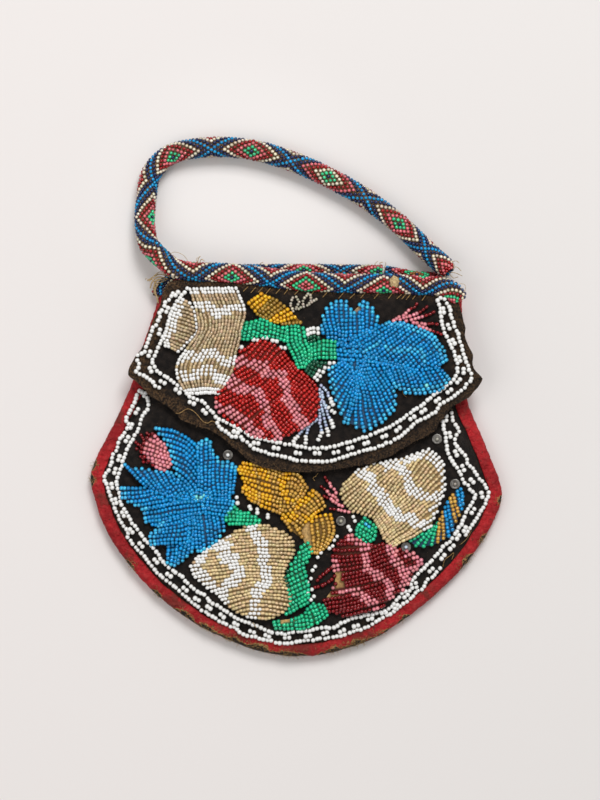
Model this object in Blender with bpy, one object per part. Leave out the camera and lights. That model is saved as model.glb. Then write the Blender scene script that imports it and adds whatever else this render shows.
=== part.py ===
"""Flat velvet bag with raised glass beadwork, a beaded flap and a beaded rope handle.

The bag lies on its back: X runs across it, +Y points to the handle and +Z is up, out of its front.
Two shaped panels are bound together round the sides and the bottom. The mouth is between the two
rows of beaded rope along their top edges. The flap is sewn on along the front row.
"""

import math

import bmesh
import bpy
import numpy as np

MM = 0.001

# Driving sizes of the cloth
BAG_WIDTH = 160 * MM  # across the two corners of the pocket
POCKET_DEPTH = 142.7 * MM  # from the mouth to the lowest point of the round bottom
FLAP_WIDTH = 137 * MM  # across the two corner tips of the flap
FLAP_DROP = 70.5 * MM  # from the front rope to the flap's lowest point
VELVET = 0.8 * MM
FLAP_CLOTH = 1.0 * MM
LINING = 0.4 * MM
SILK = 0.5 * MM
BINDING_WIDTH = 4.2 * MM  # how far the silk edge binding reaches in over the panels
LAP = 0.3 * MM  # clearance between layers that are sewn on one another
STIFF_LAP = 1.0 * MM  # the same under the rope and the border, which bridge bends in the cloth
MOUTH_GAP = 4.4 * MM  # clear height from the back rope to the front lining
POCKET_GAP = 4.6 * MM  # clear height inside the pocket at its round end
SLOPE_RUN = 6.5 * MM  # how far the front panel takes to rise from the binding
BACK_RUN = 3 * MM  # how far the back panel takes to come down from the binding

# Driving sizes of the beaded rope
ROPE_WIDTH = 8.8 * MM
FRONT_ROW_THICKNESS = 5.0 * MM
BACK_ROW_THICKNESS = 3.4 * MM
FRONT_ROW_RAISE = 4.85 * MM  # how far the front row's middle stands above the mouth's edge
HANDLE_DIAMETER = 8.6 * MM
HANDLE_RISE = 55.7 * MM  # from the mouth to the top of the handle's own line
HANDLE_SETTLE = 1.0 * MM  # its right end lies behind the back row's round top, so this much lower

# Driving sizes of the beadwork
BORDER_BEAD = 1.4 * MM
PAD_EDGE = 0.7 * MM  # a motif's height at the ends of its rows
ROW_RIDGE = 0.5 * MM  # how far a row of beads stands above the dip beside it
FRONT_ARCH = 0.8 * MM  # how much higher the middle of a front motif's rows is
FLAP_ARCH = 1.1 * MM
SEQUIN_RADIUS = 1.9 * MM
SEQUIN_THICKNESS = 0.25 * MM

# The outlines are drawn in the pixels of the 600 x 800 photograph and scaled to the sizes above.
MIDDLE_PX = 296
MOUTH_PX = 289.5
BAG_WIDTH_PX = 412
POCKET_DEPTH_PX = 367.5
FLAP_TOP_PX = 290
FLAP_WIDTH_PX = 353
FLAP_DROP_PX = 182
ROW_MIDDLE_PX = 277
HANDLE_RISE_PX = 143.5

MOUTH_Y = POCKET_DEPTH - (POCKET_DEPTH + FRONT_ROW_RAISE + ROPE_WIDTH / 2) / 2
FLAP_TOP_Y = MOUTH_Y + FRONT_ROW_RAISE - ROPE_WIDTH / 2 - LAP

# Levels of the stacked layers, in the middle of the bag and at the bound edge
EDGE_INSET = SILK + LAP
BACK_LEVEL = 0.0
BACK_SEAM = SILK + LAP
FRONT_SEAM = BACK_SEAM + VELVET + LINING + 2 * LAP
MOUTH_LEVEL = BACK_ROW_THICKNESS + MOUTH_GAP
FOOT_LEVEL = VELVET + LAP + LINING + POCKET_GAP
FRONT_CLOTH = LINING + LAP + VELVET
PAD_TOP = PAD_EDGE + FRONT_ARCH + ROW_RIDGE
FLAP_LIFT = FRONT_CLOTH + LAP + PAD_TOP + LAP

POCKET_EDGE = [
    (161, 289.5), (152, 318), (143, 345), (134, 378), (121, 408), (107, 436), (98, 453),
    (92, 467), (90, 479), (92, 490), (98, 510), (105, 528), (116, 548), (132, 569), (154, 593),
    (179, 613), (205, 630), (232, 642), (262, 652), (292, 657), (322, 655), (350, 648),
    (378, 637), (405, 619), (430, 600), (450, 582), (468, 562), (486, 536), (497, 514),
    (502, 496), (499, 478), (492, 460), (482, 436), (473, 416), (467, 396), (463, 345),
    (462, 289.5),
]
FLAP_SIDES = [
    (160, 305), (151, 327), (143, 346), (134, 361), (129, 371), (138, 380), (152, 394),
    (165, 404), (182, 418), (200, 427), (215, 434), (236, 449), (256, 463), (276, 470),
    (305, 472), (332, 470), (350, 467), (370, 464), (391, 456), (411, 444), (431, 433),
    (451, 413), (467, 399), (482, 381), (474, 363), (467, 340), (462, 317),
]
FLAP_TOP_LEFT_PX, FLAP_TOP_RIGHT_PX = 165, 457
FRONT_ROW_PATH = [
    (175, 275), (190, 277), (230, 277), (304, 281), (372, 283), (418, 285), (445, 286), (457, 291),
]
BACK_ROW_LEFT_PX, BACK_ROW_RIGHT_PX = 180, 451
HANDLE_PATH = [
    (168, 270), (156, 260), (148, 243), (143, 222), (145, 198), (152, 170), (172, 153),
    (211, 146), (251, 150), (290, 161), (328, 177), (366, 199), (398, 222), (424, 247), (441, 263),
]

FLAP_BORDER_OUTER = [
    (173, 293), (167, 302), (161, 314), (153, 331), (146, 347), (138, 357), (137, 371),
    (149, 381), (162, 389), (176, 399), (190, 408), (204, 415), (219, 426), (236, 437),
    (252, 446), (273, 454), (296, 460), (330, 461), (358, 452), (388, 443), (409, 428),
    (433, 413), (450, 399), (464, 387), (471, 377), (466, 363), (457, 335), (450, 315), (443, 301),
]
FLAP_BORDER_INNER = [
    (187, 293), (181, 298), (171, 313), (166, 331), (159, 347), (153, 360), (158, 371),
    (172, 380), (184, 390), (196, 399), (209, 408), (222, 420), (236, 427), (253, 437),
    (277, 442), (310, 448), (347, 443), (377, 432), (401, 419), (419, 407), (436, 393),
    (452, 381), (457, 371), (454, 355), (444, 331), (439, 312), (436, 301),
]
FLAP_BORDER_PAIRS = 25
FRONT_BORDER_OUTER = [
    (145, 389), (138, 403), (132, 417), (127, 429), (121, 441), (114, 457), (110, 468),
    (105, 478), (109, 494), (116, 509), (125, 529), (138, 551), (156, 573), (173, 587),
    (198, 606), (224, 622), (245, 631), (283, 641), (315, 640), (340, 635), (367, 625),
    (390, 611), (414, 593), (424, 584), (443, 567), (460, 546), (472, 526), (481, 511),
    (487, 496), (484, 486), (476, 475), (467, 462), (456, 447), (456, 432), (452, 413),
]
FRONT_BORDER_INNER = [
    (152, 393), (150, 408), (144, 421), (136, 437), (127, 451), (120, 470), (118, 484),
    (121, 500), (129, 517), (140, 532), (154, 550), (172, 570), (192, 586), (209, 601),
    (236, 617), (264, 627), (290, 633), (325, 628), (348, 621), (375, 612), (394, 605),
    (411, 588), (424, 569), (441, 550), (456, 532), (467, 511), (475, 497), (465, 484),
    (452, 463), (445, 441), (443, 421),
]
FRONT_BORDER_PAIRS = 34

# Each motif: its material, its number of bead rows, and guide rows that the rows between follow.
FLAP_MOTIFS = {
    "flap_tulip_crown": ("clear_beads", 11, [
        ((192, 293), (198, 311), (200, 333)), ((206, 292), (208, 311), (207, 334)),
        ((222, 292), (225, 311), (222, 335)), ((234, 293), (244, 311), (236, 336))]),
    "flap_tulip_base": ("clear_beads", 13, [
        ((183, 358), (182, 371), (185, 384)), ((191, 348), (189, 371), (193, 391)),
        ((202, 339), (203, 366), (202, 395)), ((220, 339), (218, 368), (215, 396)),
        ((236, 340), (231, 362), (226, 382))]),
    "flap_tulip_petal": ("clear_beads", 12, [
        ((185, 303), (188, 303), (190, 303)), ((178, 312), (187, 312), (195, 312)),
        ((175, 322), (185, 324), (196, 324)), ((172, 332), (183, 336), (193, 337)),
        ((168, 342), (177, 345), (186, 346)), ((174, 348), (178, 349), (181, 350))]),
    "flap_stem": ("gold_beads", 14, [
        ((249, 303), (256, 297), (263, 294)), ((254, 311), (264, 303), (274, 300)),
        ((264, 318), (273, 309), (284, 306)), ((276, 320), (286, 315), (297, 317))]),
    "flap_calyx_arm": ("green_beads", 12, [
        ((239, 340), (241, 333), (245, 325)), ((250, 338), (254, 329), (259, 321)),
        ((265, 336), (268, 330), (271, 323)), ((283, 338), (285, 332), (287, 325))]),
    "flap_calyx_heart": ("green_beads", 7, [
        ((292, 350), (295, 360), (299, 370)), ((290, 342), (297, 352), (305, 366)),
        ((289, 334), (298, 340), (307, 350)), ((290, 326), (297, 328), (304, 333))]),
    "flap_calyx_leaf": ("green_beads", 5, [
        ((309, 342), (320, 340), (332, 341)), ((310, 350), (322, 349), (335, 348)),
        ((312, 357), (323, 357), (334, 356))]),
    "flap_calyx_tips": ("dark_green_beads", 5, [
        ((311, 360), (319, 362), (328, 364)), ((308, 366), (316, 369), (323, 371)),
        ((305, 371), (311, 374), (316, 378))]),
    "flap_strawberry": ("red_beads", 26, [
        ((240, 354), (248, 349), (257, 346)), ((232, 372), (248, 361), (268, 344)),
        ((230, 385), (254, 370), (278, 350)), ((218, 402), (252, 387), (288, 360)),
        ((222, 414), (262, 396), (298, 374)), ((240, 425), (275, 405), (310, 382)),
        ((262, 434), (290, 415), (318, 393)), ((285, 436), (302, 425), (318, 411))]),
    "flap_stamens": ("pale_blue_beads", 5, [
        ((322, 388), (326, 402), (329, 416)), ((321, 398), (322, 410), (323, 425)),
        ((320, 414), (314, 423), (304, 431))]),
    "flap_leaf_top_lobe": ("blue_beads", 14, [
        ((323, 325), (323, 331), (325, 337)), ((330, 306), (332, 322), (334, 338)),
        ((346, 304), (347, 322), (347, 339)), ((363, 305), (361, 323), (359, 340)),
        ((373, 311), (369, 326), (366, 341)), ((379, 324), (375, 332), (371, 340))]),
    "flap_leaf_heart": ("blue_beads", 8, [
        ((338, 344), (354, 343), (371, 345)), ((340, 352), (360, 352), (384, 356)),
        ((344, 360), (364, 362), (386, 368)), ((352, 367), (370, 371), (387, 379))]),
    "flap_leaf_right_lobe": ("blue_beads", 14, [
        ((375, 345), (379, 335), (384, 327)), ((388, 348), (394, 337), (401, 327)),
        ((401, 351), (410, 341), (420, 332)), ((415, 354), (425, 346), (434, 339)),
        ((430, 357), (436, 353), (441, 349))]),
    "flap_leaf_right_tip": ("blue_beads", 3, [
        ((402, 357), (424, 361), (443, 360)), ((400, 362), (420, 368), (442, 367))]),
    "flap_leaf_low_lobe": ("blue_beads", 13, [
        ((390, 362), (395, 375), (400, 387)), ((397, 367), (405, 379), (413, 390)),
        ((409, 371), (418, 380), (427, 389)), ((423, 373), (431, 380), (439, 386)),
        ((438, 371), (442, 376), (446, 380))]),
    "flap_leaf_bottom_lobe": ("blue_beads", 22, [
        ((335, 366), (332, 371), (329, 376)), ((342, 370), (337, 382), (333, 396)),
        ((351, 373), (345, 392), (341, 413)), ((359, 376), (357, 400), (356, 425)),
        ((367, 379), (370, 402), (373, 424)), ((374, 381), (384, 396), (391, 410)),
        ((381, 382), (388, 389), (394, 397))]),
    "flap_thistle": ("pink_beads", 5, [
        ((393, 320), (400, 314), (409, 312)), ((403, 322), (413, 319), (424, 316)),
        ((417, 325), (424, 327), (431, 330))]),
}
FRONT_MOTIFS = {
    "leaf_upper_lobe": ("blue_beads", 14, [
        ((160, 431), (178, 434), (195, 447)), ((165, 441), (182, 450), (195, 462)),
        ((175, 454), (185, 466), (195, 478)), ((180, 470), (188, 480), (196, 489))]),
    "leaf_crown_lobe": ("blue_beads", 9, [
        ((201, 443), (200, 467), (201, 492)), ((210, 446), (207, 470), (207, 492)),
        ((218, 466), (216, 478), (213, 492)), ((233, 468), (228, 478), (222, 488))]),
    "leaf_right_lobe": ("blue_beads", 5, [
        ((209, 498), (222, 495), (233, 488)), ((206, 503), (218, 503), (229, 501))]),
    "leaf_foot_lobe": ("blue_beads", 14, [
        ((219, 511), (219, 520), (218, 531)), ((212, 510), (211, 522), (208, 538)),
        ((204, 509), (202, 528), (198, 546)), ((192, 516), (191, 532), (190, 549)),
        ((184, 533), (183, 545), (182, 557)), ((176, 545), (175, 553), (174, 561))]),
    "leaf_shoulder_lobe": ("blue_beads", 11, [
        ((127, 470), (134, 476), (141, 482)), ((133, 468), (144, 477), (156, 487)),
        ((147, 470), (159, 479), (170, 488)), ((163, 473), (174, 482), (184, 491)),
        ((175, 474), (185, 484), (194, 493))]),
    "leaf_left_lobe": ("blue_beads", 7, [
        ((124, 490), (132, 487), (139, 485)), ((125, 498), (142, 493), (157, 490)),
        ((129, 503), (155, 497), (184, 494)), ((143, 507), (172, 502), (200, 500))]),
    "leaf_lower_lobe": ("blue_beads", 4, [
        ((147, 511), (174, 507), (200, 504)), ((147, 519), (168, 515), (190, 512))]),
    "leaf_low_tip": ("blue_beads", 6, [
        ((161, 524), (175, 520), (188, 516)), ((151, 533), (168, 528), (186, 523)),
        ((151, 543), (165, 540), (179, 532))]),
    "bud": ("pink_beads", 8, [
        ((152, 437), (158, 441), (163, 445)), ((144, 446), (156, 450), (168, 453)),
        ((149, 457), (160, 460), (171, 462)), ((158, 467), (165, 468), (173, 470))]),
    "gold_leaf_top": ("gold_beads", 5, [
        ((244, 464), (262, 468), (284, 474)), ((240, 470), (270, 478), (303, 484)),
        ((243, 477), (275, 486), (307, 493))]),
    "gold_leaf_middle": ("gold_beads", 5, [
        ((245, 484), (273, 490), (300, 498)), ((243, 491), (270, 499), (294, 506)),
        ((256, 500), (272, 506), (286, 511))]),
    "gold_leaf_shoulder": ("gold_beads", 5, [
        ((312, 491), (319, 496), (324, 505)), ((305, 499), (313, 506), (322, 512)),
        ((299, 505), (304, 509), (312, 513))]),
    "gold_leaf_foot": ("gold_beads", 12, [
        ((284, 516), (291, 526), (299, 537)), ((295, 516), (301, 528), (306, 540)),
        ((310, 517), (312, 534), (313, 550)), ((321, 518), (321, 533), (319, 548)),
        ((331, 517), (332, 526), (329, 536))]),
    "left_berry": ("clear_beads", 25, [
        ((249, 527), (257, 526), (267, 527)), ((222, 541), (255, 537), (290, 542)),
        ((228, 553), (259, 551), (293, 556)), ((238, 563), (263, 562), (290, 566)),
        ((239, 574), (264, 574), (283, 576)), ((231, 584), (260, 585), (286, 587)),
        ((221, 593), (255, 596), (290, 598)), ((230, 606), (258, 608), (284, 608)),
        ((248, 616), (260, 618), (272, 617))]),
    "left_berry_cap": ("clear_beads", 11, [
        ((208, 549), (213, 548), (219, 550)), ((198, 556), (211, 555), (224, 559)),
        ((192, 565), (212, 565), (233, 565)), ((196, 577), (214, 577), (232, 577)),
        ((207, 586), (216, 587), (224, 585))]),
    "small_leaf": ("green_beads", 7, [
        ((226, 518), (230, 513), (235, 508)), ((229, 523), (237, 516), (246, 513)),
        ((236, 522), (245, 519), (254, 517)), ((242, 524), (251, 523), (259, 522))]),
    "green_stem": ("green_beads", 16, [
        ((301, 545), (304, 544), (307, 545)), ((299, 555), (305, 555), (312, 555)),
        ((290, 567), (297, 569), (304, 571)), ((290, 581), (296, 582), (302, 582)),
        ((294, 592), (300, 593), (306, 594)), ((295, 601), (300, 602), (305, 603)),
        ((290, 610), (295, 610), (299, 608))]),
    "green_leaf": ("green_beads", 12, [
        ((276, 625), (276, 623), (277, 620)), ((288, 626), (289, 623), (290, 619)),
        ((301, 627), (302, 622), (303, 616)), ((309, 624), (310, 617), (311, 609)),
        ((317, 619), (317, 613), (317, 606)), ((325, 615), (325, 612), (324, 609))]),
    "right_berry": ("clear_beads", 24, [
        ((341, 484), (350, 475), (360, 469)), ((343, 495), (367, 479), (395, 464)),
        ((351, 506), (378, 489), (403, 473)), ((366, 513), (388, 499), (410, 486)),
        ((380, 519), (403, 506), (426, 496)), ((380, 530), (409, 515), (439, 502)),
        ((388, 540), (412, 527), (434, 515)), ((398, 544), (410, 537), (422, 530))]),
    "right_berry_cap": ("clear_beads", 11, [
        ((405, 464), (409, 459), (413, 456)), ((410, 475), (417, 464), (425, 452)),
        ((415, 484), (425, 470), (436, 458)), ((427, 490), (436, 476), (445, 463)),
        ((438, 491), (442, 484), (445, 478))]),
    "red_berry": ("dark_red_beads", 22, [
        ((336, 547), (342, 542), (348, 540)), ((333, 557), (352, 550), (372, 546)),
        ((327, 572), (358, 560), (390, 549)), ((320, 585), (360, 572), (398, 559)),
        ((334, 592), (367, 580), (402, 570)), ((329, 602), (364, 591), (401, 580)),
        ((333, 609), (366, 599), (396, 588)), ((348, 611), (366, 605), (384, 597))]),
    "red_berry_tip": ("dark_red_beads", 6, [
        ((401, 555), (408, 555), (414, 556)), ((403, 562), (412, 562), (420, 562)),
        ((406, 571), (411, 571), (416, 570))]),
    "berry_leaf": ("green_beads", 6, [
        ((366, 517), (370, 520), (374, 525)), ((360, 523), (368, 527), (376, 533)),
        ((359, 530), (366, 535), (373, 540)), ((360, 536), (363, 539), (367, 542))]),
    "striped_stem": ("gold_beads", 9, [
        ((438, 524), (434, 533), (429, 541)), ((444, 517), (444, 527), (443, 538)),
        ((448, 507), (450, 520), (451, 533)), ((455, 497), (458, 508), (460, 519)),
        ((461, 490), (463, 498), (466, 506))]),
    "striped_stem_tip": ("green_beads", 4, [
        ((411, 540), (415, 537), (419, 534)), ((418, 544), (425, 538), (431, 531))]),
}
SEQUINS = [(228, 455), (437, 439), (455, 484), (341, 521), (406, 547)]

COLOURS = {
    "velvet": ((0.020, 0.015, 0.013), 0.95), "lining_cloth": ((0.45, 0.33, 0.19), 0.9),
    "red_silk": ((0.36, 0.025, 0.03), 0.6), "beaded_rope": ((0.05, 0.17, 0.36), 0.4),
    "white_beads": ((0.85, 0.84, 0.80), 0.35), "clear_beads": ((0.52, 0.41, 0.27), 0.3),
    "gold_beads": ((0.68, 0.34, 0.04), 0.3), "green_beads": ((0.03, 0.46, 0.24), 0.3),
    "dark_green_beads": ((0.01, 0.12, 0.07), 0.3), "red_beads": ((0.50, 0.025, 0.015), 0.3),
    "dark_red_beads": ((0.16, 0.006, 0.012), 0.3), "pale_blue_beads": ((0.45, 0.52, 0.62), 0.3),
    "blue_beads": ((0.02, 0.24, 0.58), 0.3), "pink_beads": ((0.75, 0.30, 0.35), 0.35),
    "sequin_metal": ((0.30, 0.29, 0.27), 0.4),
}


def pocket_at(point):
    """A place on the pocket, from a pixel of the photograph."""
    return (
        (point[0] - MIDDLE_PX) * BAG_WIDTH / BAG_WIDTH_PX,
        MOUTH_Y - (point[1] - MOUTH_PX) * POCKET_DEPTH / POCKET_DEPTH_PX,
    )


def flap_at(point):
    """A place on the flap, from a pixel of the photograph."""
    return (
        (point[0] - MIDDLE_PX) * FLAP_WIDTH / FLAP_WIDTH_PX,
        FLAP_TOP_Y - (point[1] - FLAP_TOP_PX) * FLAP_DROP / FLAP_DROP_PX,
    )


def row_at(point):
    """A place on the front rope's middle line, from a pixel of the photograph."""
    x, _ = pocket_at(point)
    drop = (point[1] - ROW_MIDDLE_PX) * POCKET_DEPTH / POCKET_DEPTH_PX
    return x, MOUTH_Y + FRONT_ROW_RAISE - drop


def inset(line, distance):
    """An open line moved to its left by a distance. Its ends slide along X, so they keep their Y."""
    points = np.array(line)
    steps = np.diff(points, axis=0)
    normals = np.stack([-steps[:, 1], steps[:, 0]], axis=1)
    normals /= np.linalg.norm(normals, axis=1)[:, None]
    moved = [(points[0][0] + distance / normals[0][0], points[0][1])]
    for i in range(1, len(points) - 1):
        middle = normals[i - 1] + normals[i]
        middle /= np.linalg.norm(middle)
        moved.append(tuple(points[i] + middle * distance / middle.dot(normals[i])))
    moved.append((points[-1][0] + distance / normals[-1][0], points[-1][1]))
    return moved


POCKET_LINE = [pocket_at(p) for p in POCKET_EDGE]


def edge_distance(x, y):
    """How far a place is from the pocket's bound edge."""
    start = np.array(POCKET_LINE[:-1])
    step = np.array(POCKET_LINE[1:]) - start
    along = ((np.array((x, y)) - start) * step).sum(axis=1) / (step * step).sum(axis=1)
    nearest = start + step * np.clip(along, 0, 1)[:, None]
    return float(np.linalg.norm(nearest - (x, y), axis=1).min())


def middle_level(y):
    """Underside of the front lining in the middle of the bag: a plane that falls to the foot."""
    share = (MOUTH_Y - y) / POCKET_DEPTH
    return MOUTH_LEVEL + (FOOT_LEVEL - MOUTH_LEVEL) * share


BINDING_REACH = BINDING_WIDTH + LAP
FRONT_KNOTS = [BINDING_REACH, BINDING_REACH + SLOPE_RUN]


def front_under(y, distance):
    """Underside of the front lining at a distance from the bound edge."""
    share = np.interp(distance, FRONT_KNOTS, [0, 1])
    return FRONT_SEAM + (middle_level(y) - FRONT_SEAM) * share


def front_top(x, y):
    """Top of the front velvet."""
    return front_under(min(y, MOUTH_Y), edge_distance(x, min(y, MOUTH_Y))) + FRONT_CLOTH


def back_under(_, distance):
    """Underside of the back velvet: on the ground in the middle, over the silk at the edge."""
    return float(np.interp(distance, [BINDING_REACH, BINDING_REACH + BACK_RUN], [BACK_SEAM, BACK_LEVEL]))


def flap_under(y):
    return middle_level(y) + FLAP_LIFT


def flap_top(_, y):
    return flap_under(y) + FLAP_CLOTH


def material(name):
    if name in bpy.data.materials:
        return bpy.data.materials[name]
    made = bpy.data.materials.new(name)
    made.use_nodes = True
    shader = made.node_tree.nodes["Principled BSDF"]
    colour, roughness = COLOURS[name]
    shader.inputs["Base Color"].default_value = (*colour, 1)
    shader.inputs["Roughness"].default_value = roughness
    shader.inputs["Metallic"].default_value = 0.6 if name == "sequin_metal" else 0
    return made


def solid(name, points, faces, material_name):
    """One closed piece from points and faces, its faces pointing out."""
    mesh = bpy.data.meshes.new(name)
    built = bmesh.new()
    verts = [built.verts.new(p) for p in points]
    for face in faces:
        built.faces.new([verts[i] for i in face])
    bmesh.ops.recalc_face_normals(built, faces=built.faces)
    built.to_mesh(mesh)
    built.free()
    mesh.materials.append(material(material_name))
    piece = bpy.data.objects.new(name, mesh)
    bpy.context.scene.collection.objects.link(piece)
    return piece


def skin(name, loops, material_name):
    """A closed skin over a row of loops, with a flat cap at each end."""
    sides = len(loops[0])
    points = [p for loop in loops for p in loop]
    faces = [
        (a * sides + i, a * sides + (i + 1) % sides, (a + 1) * sides + (i + 1) % sides, (a + 1) * sides + i)
        for a in range(len(loops) - 1)
        for i in range(sides)
    ]
    faces.append(tuple(range(sides)))
    faces.append(tuple(range(len(points) - sides, len(points))))
    return solid(name, points, faces, material_name)


def panel(name, under, knots, thickness, lift, material_name):
    """A cloth panel of the pocket. under gives its layer's height, and knots are where it bends."""
    rings = [inset(POCKET_LINE, d) for d in (EDGE_INSET, *knots)]
    depths = (EDGE_INSET, *knots)
    count = len(POCKET_LINE)
    low = [(x, y, under(y, d) + lift) for ring, d in zip(rings, depths) for x, y in ring]
    high = [(x, y, z + thickness) for x, y, z in low]
    size = len(low)
    faces = []
    for r in range(len(rings) - 1):
        for i in range(count - 1):
            quad = (r * count + i, r * count + i + 1, (r + 1) * count + i + 1, (r + 1) * count + i)
            faces += [quad, tuple(size + k for k in quad)]
    inner = (len(rings) - 1) * count
    middle = tuple(range(inner, inner + count))
    faces += [middle, tuple(size + k for k in middle)]
    left = [r * count for r in range(len(rings))]
    right = [r * count + count - 1 for r in range(len(rings))]
    rim = list(range(count)) + right[1:] + left[:0:-1]
    for a, b in zip(rim, rim[1:] + rim[:1]):
        faces.append((a, b, size + b, size + a))
    return solid(name, low + high, faces, material_name)


def smooth(path, steps):
    """Points on a curve through the path's own points, steps to each stretch."""
    points = np.array([path[0], *path, path[-1]], float)
    made = []
    for i in range(1, len(points) - 2):
        a, b, c, d = points[i - 1 : i + 3]
        for k in range(steps):
            t = k / steps
            made.append(0.5 * (2 * b + (c - a) * t + (2 * a - 5 * b + 4 * c - d) * t**2
                               + (3 * b - a - 3 * c + d) * t**3))
    made.append(points[-1])
    return made


def spaced(path, count):
    """The same line with evenly spaced points."""
    points = np.array(path, float)
    reach = np.concatenate([[0], np.cumsum(np.linalg.norm(np.diff(points, axis=0), axis=1))])
    even = np.linspace(0, reach[-1], count)
    return np.stack([np.interp(even, reach, points[:, k]) for k in range(points.shape[1])], axis=1)


ROW_SIDES = 8
FRONT_ROW_LINE = spaced(smooth([row_at(p) for p in FRONT_ROW_PATH], 6), 24)


def binding_top(distance):
    return front_under(MOUTH_Y, min(distance, BINDING_WIDTH)) + FRONT_CLOTH + LAP + SILK


def front_skin(x, y):
    """Top of whatever lies on the bag's front: the silk binding at the edge, or the velvet."""
    y = min(y, MOUTH_Y)
    distance = edge_distance(x, y)
    cloth = front_under(y, distance) + FRONT_CLOTH
    return max(cloth, binding_top(distance)) if distance < BINDING_REACH else cloth


def row_loops(line, thickness, under):
    """Flattened rope sections along a line, each standing on the height that under gives."""
    loops = []
    ahead = np.gradient(line, axis=0)
    for (x, y), (dx, dy) in zip(line, ahead):
        side = np.array((-dy, dx)) / math.hypot(dx, dy)
        foot = under(x, y)
        loop = []
        for k in range(ROW_SIDES):
            turn = 2 * math.pi * (k + 0.5) / ROW_SIDES
            out = ROPE_WIDTH / 2 * math.cos(turn) / math.cos(math.pi / ROW_SIDES)
            rise = thickness / 2 * (1 + math.sin(turn) / math.cos(math.pi / ROW_SIDES))
            loop.append((x + side[0] * out, y + side[1] * out, foot + rise))
        loops.append(loop)
    return loops


def front_row_foot(x, y):
    """The front rope lies on the highest thing under its width."""
    reach = ROPE_WIDTH / 2
    return max(front_skin(x, y + k * reach) for k in (-1, -0.5, 0, 0.5, 1)) + STIFF_LAP


def pad(name, place, top, arch, rows, guides, material_name):
    """A raised motif: one ridge for each row of beads, highest in the middle of the rows."""
    guides = np.array([[place(p) for p in guide] for guide in guides])
    reach = np.concatenate([[0], np.cumsum(np.linalg.norm(np.diff(guides[:, 1], axis=0), axis=1))])

    def strand(share):
        """The three points of the row at a share of the way across the motif."""
        flat = guides.reshape(len(guides), 6)
        return np.array([np.interp(share * reach[-1], reach, flat[:, k]) for k in range(6)]).reshape(3, 2)

    points, faces = [], []

    def add(x, y, height):
        points.append((x, y, top(x, y) + LAP + height))
        return len(points) - 1

    dips, feet, crests = [], [], []
    for i in range(rows + 1):
        a, b, c = strand(i / rows)
        dips.append((add(*a, PAD_EDGE), add(*b, PAD_EDGE + arch), add(*c, PAD_EDGE)))
        feet.append((add(*a, 0), add(*c, 0)))
    for i in range(rows):
        crests.append(add(*strand((i + 0.5) / rows)[1], PAD_EDGE + arch + ROW_RIDGE))
    for i, crest in enumerate(crests):
        a, b = dips[i], dips[i + 1]
        faces += [(a[0], a[1], crest), (a[1], a[2], crest), (b[1], b[0], crest), (b[2], b[1], crest)]
        faces += [(b[0], a[0], crest), (a[2], b[2], crest)]
        c, d = feet[i], feet[i + 1]
        faces += [(c[0], d[0], d[1], c[1]), (a[0], b[0], d[0], c[0]), (a[2], b[2], d[1], c[1])]
    for dip, foot in ((dips[0], feet[0]), (dips[-1], feet[-1])):
        faces.append((*dip, foot[1], foot[0]))
    return solid(name, points, faces, material_name)


def border(name, place, top, lap, outer, inner, pairs):
    """Two lines of white beads with pairs of larger beads between them, sewn as one band."""
    stations = 2 * pairs + 1
    outer = spaced([place(p) for p in outer], stations)
    inner = spaced([place(p) for p in inner], stations)
    across = inner - outer
    across /= np.linalg.norm(across, axis=1)[:, None]
    half = BORDER_BEAD / 2
    columns = [outer - across * half, outer + across * half, inner - across * half, inner + across * half]
    points = []
    for height in (0, BORDER_BEAD):
        for column in columns:
            points += [(x, y, top(x, y) + lap + height) for x, y in column]
    level = 4 * stations

    def at(column, station):
        return column * stations + station

    filled = {(c, s) for s in range(stations - 1) for c in (0, 2)}
    filled |= {(1, s) for s in range(0, stations - 1, 2)}
    faces = []
    for c, s in sorted(filled):
        low = (at(c, s), at(c + 1, s), at(c + 1, s + 1), at(c, s + 1))
        faces += [low, tuple(level + k for k in low)]
        sides = {(c, s - 1): (0, 1), (c + 1, s): (1, 2), (c, s + 1): (2, 3), (c - 1, s): (3, 0)}
        for neighbour, (a, b) in sides.items():
            if neighbour not in filled:
                faces.append((low[a], low[b], level + low[b], level + low[a]))
    return solid(name, points, faces, "white_beads")


def sequin(name, point):
    """A round sequin held by a seed bead through its middle."""
    x, y = pocket_at(point)
    foot = front_top(x, y) + LAP
    bead = BORDER_BEAD / 2
    profile = [
        (SEQUIN_RADIUS, 0), (SEQUIN_RADIUS, SEQUIN_THICKNESS), (bead, SEQUIN_THICKNESS),
        (bead / 2, SEQUIN_THICKNESS + BORDER_BEAD * 0.8),
    ]
    sides = 8
    loops = [
        [(x + r * math.cos(2 * math.pi * k / sides), y + r * math.sin(2 * math.pi * k / sides), foot + h)
         for k in range(sides)]
        for r, h in profile
    ]
    return skin(name, loops, "sequin_metal")


for old in list(bpy.data.objects):
    bpy.data.objects.remove(old)

# Pocket: back and front, each a velvet outer and a lining, and the silk that binds them
BACK_KNOTS = [BINDING_REACH, BINDING_REACH + BACK_RUN]
panel("back_panel", back_under, BACK_KNOTS, VELVET, 0, "velvet")
panel("back_lining", back_under, BACK_KNOTS, LINING, VELVET + LAP, "lining_cloth")
panel("front_lining", front_under, FRONT_KNOTS, LINING, 0, "lining_cloth")
panel("front_panel", front_under, FRONT_KNOTS, VELVET, LINING + LAP, "velvet")

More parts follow.
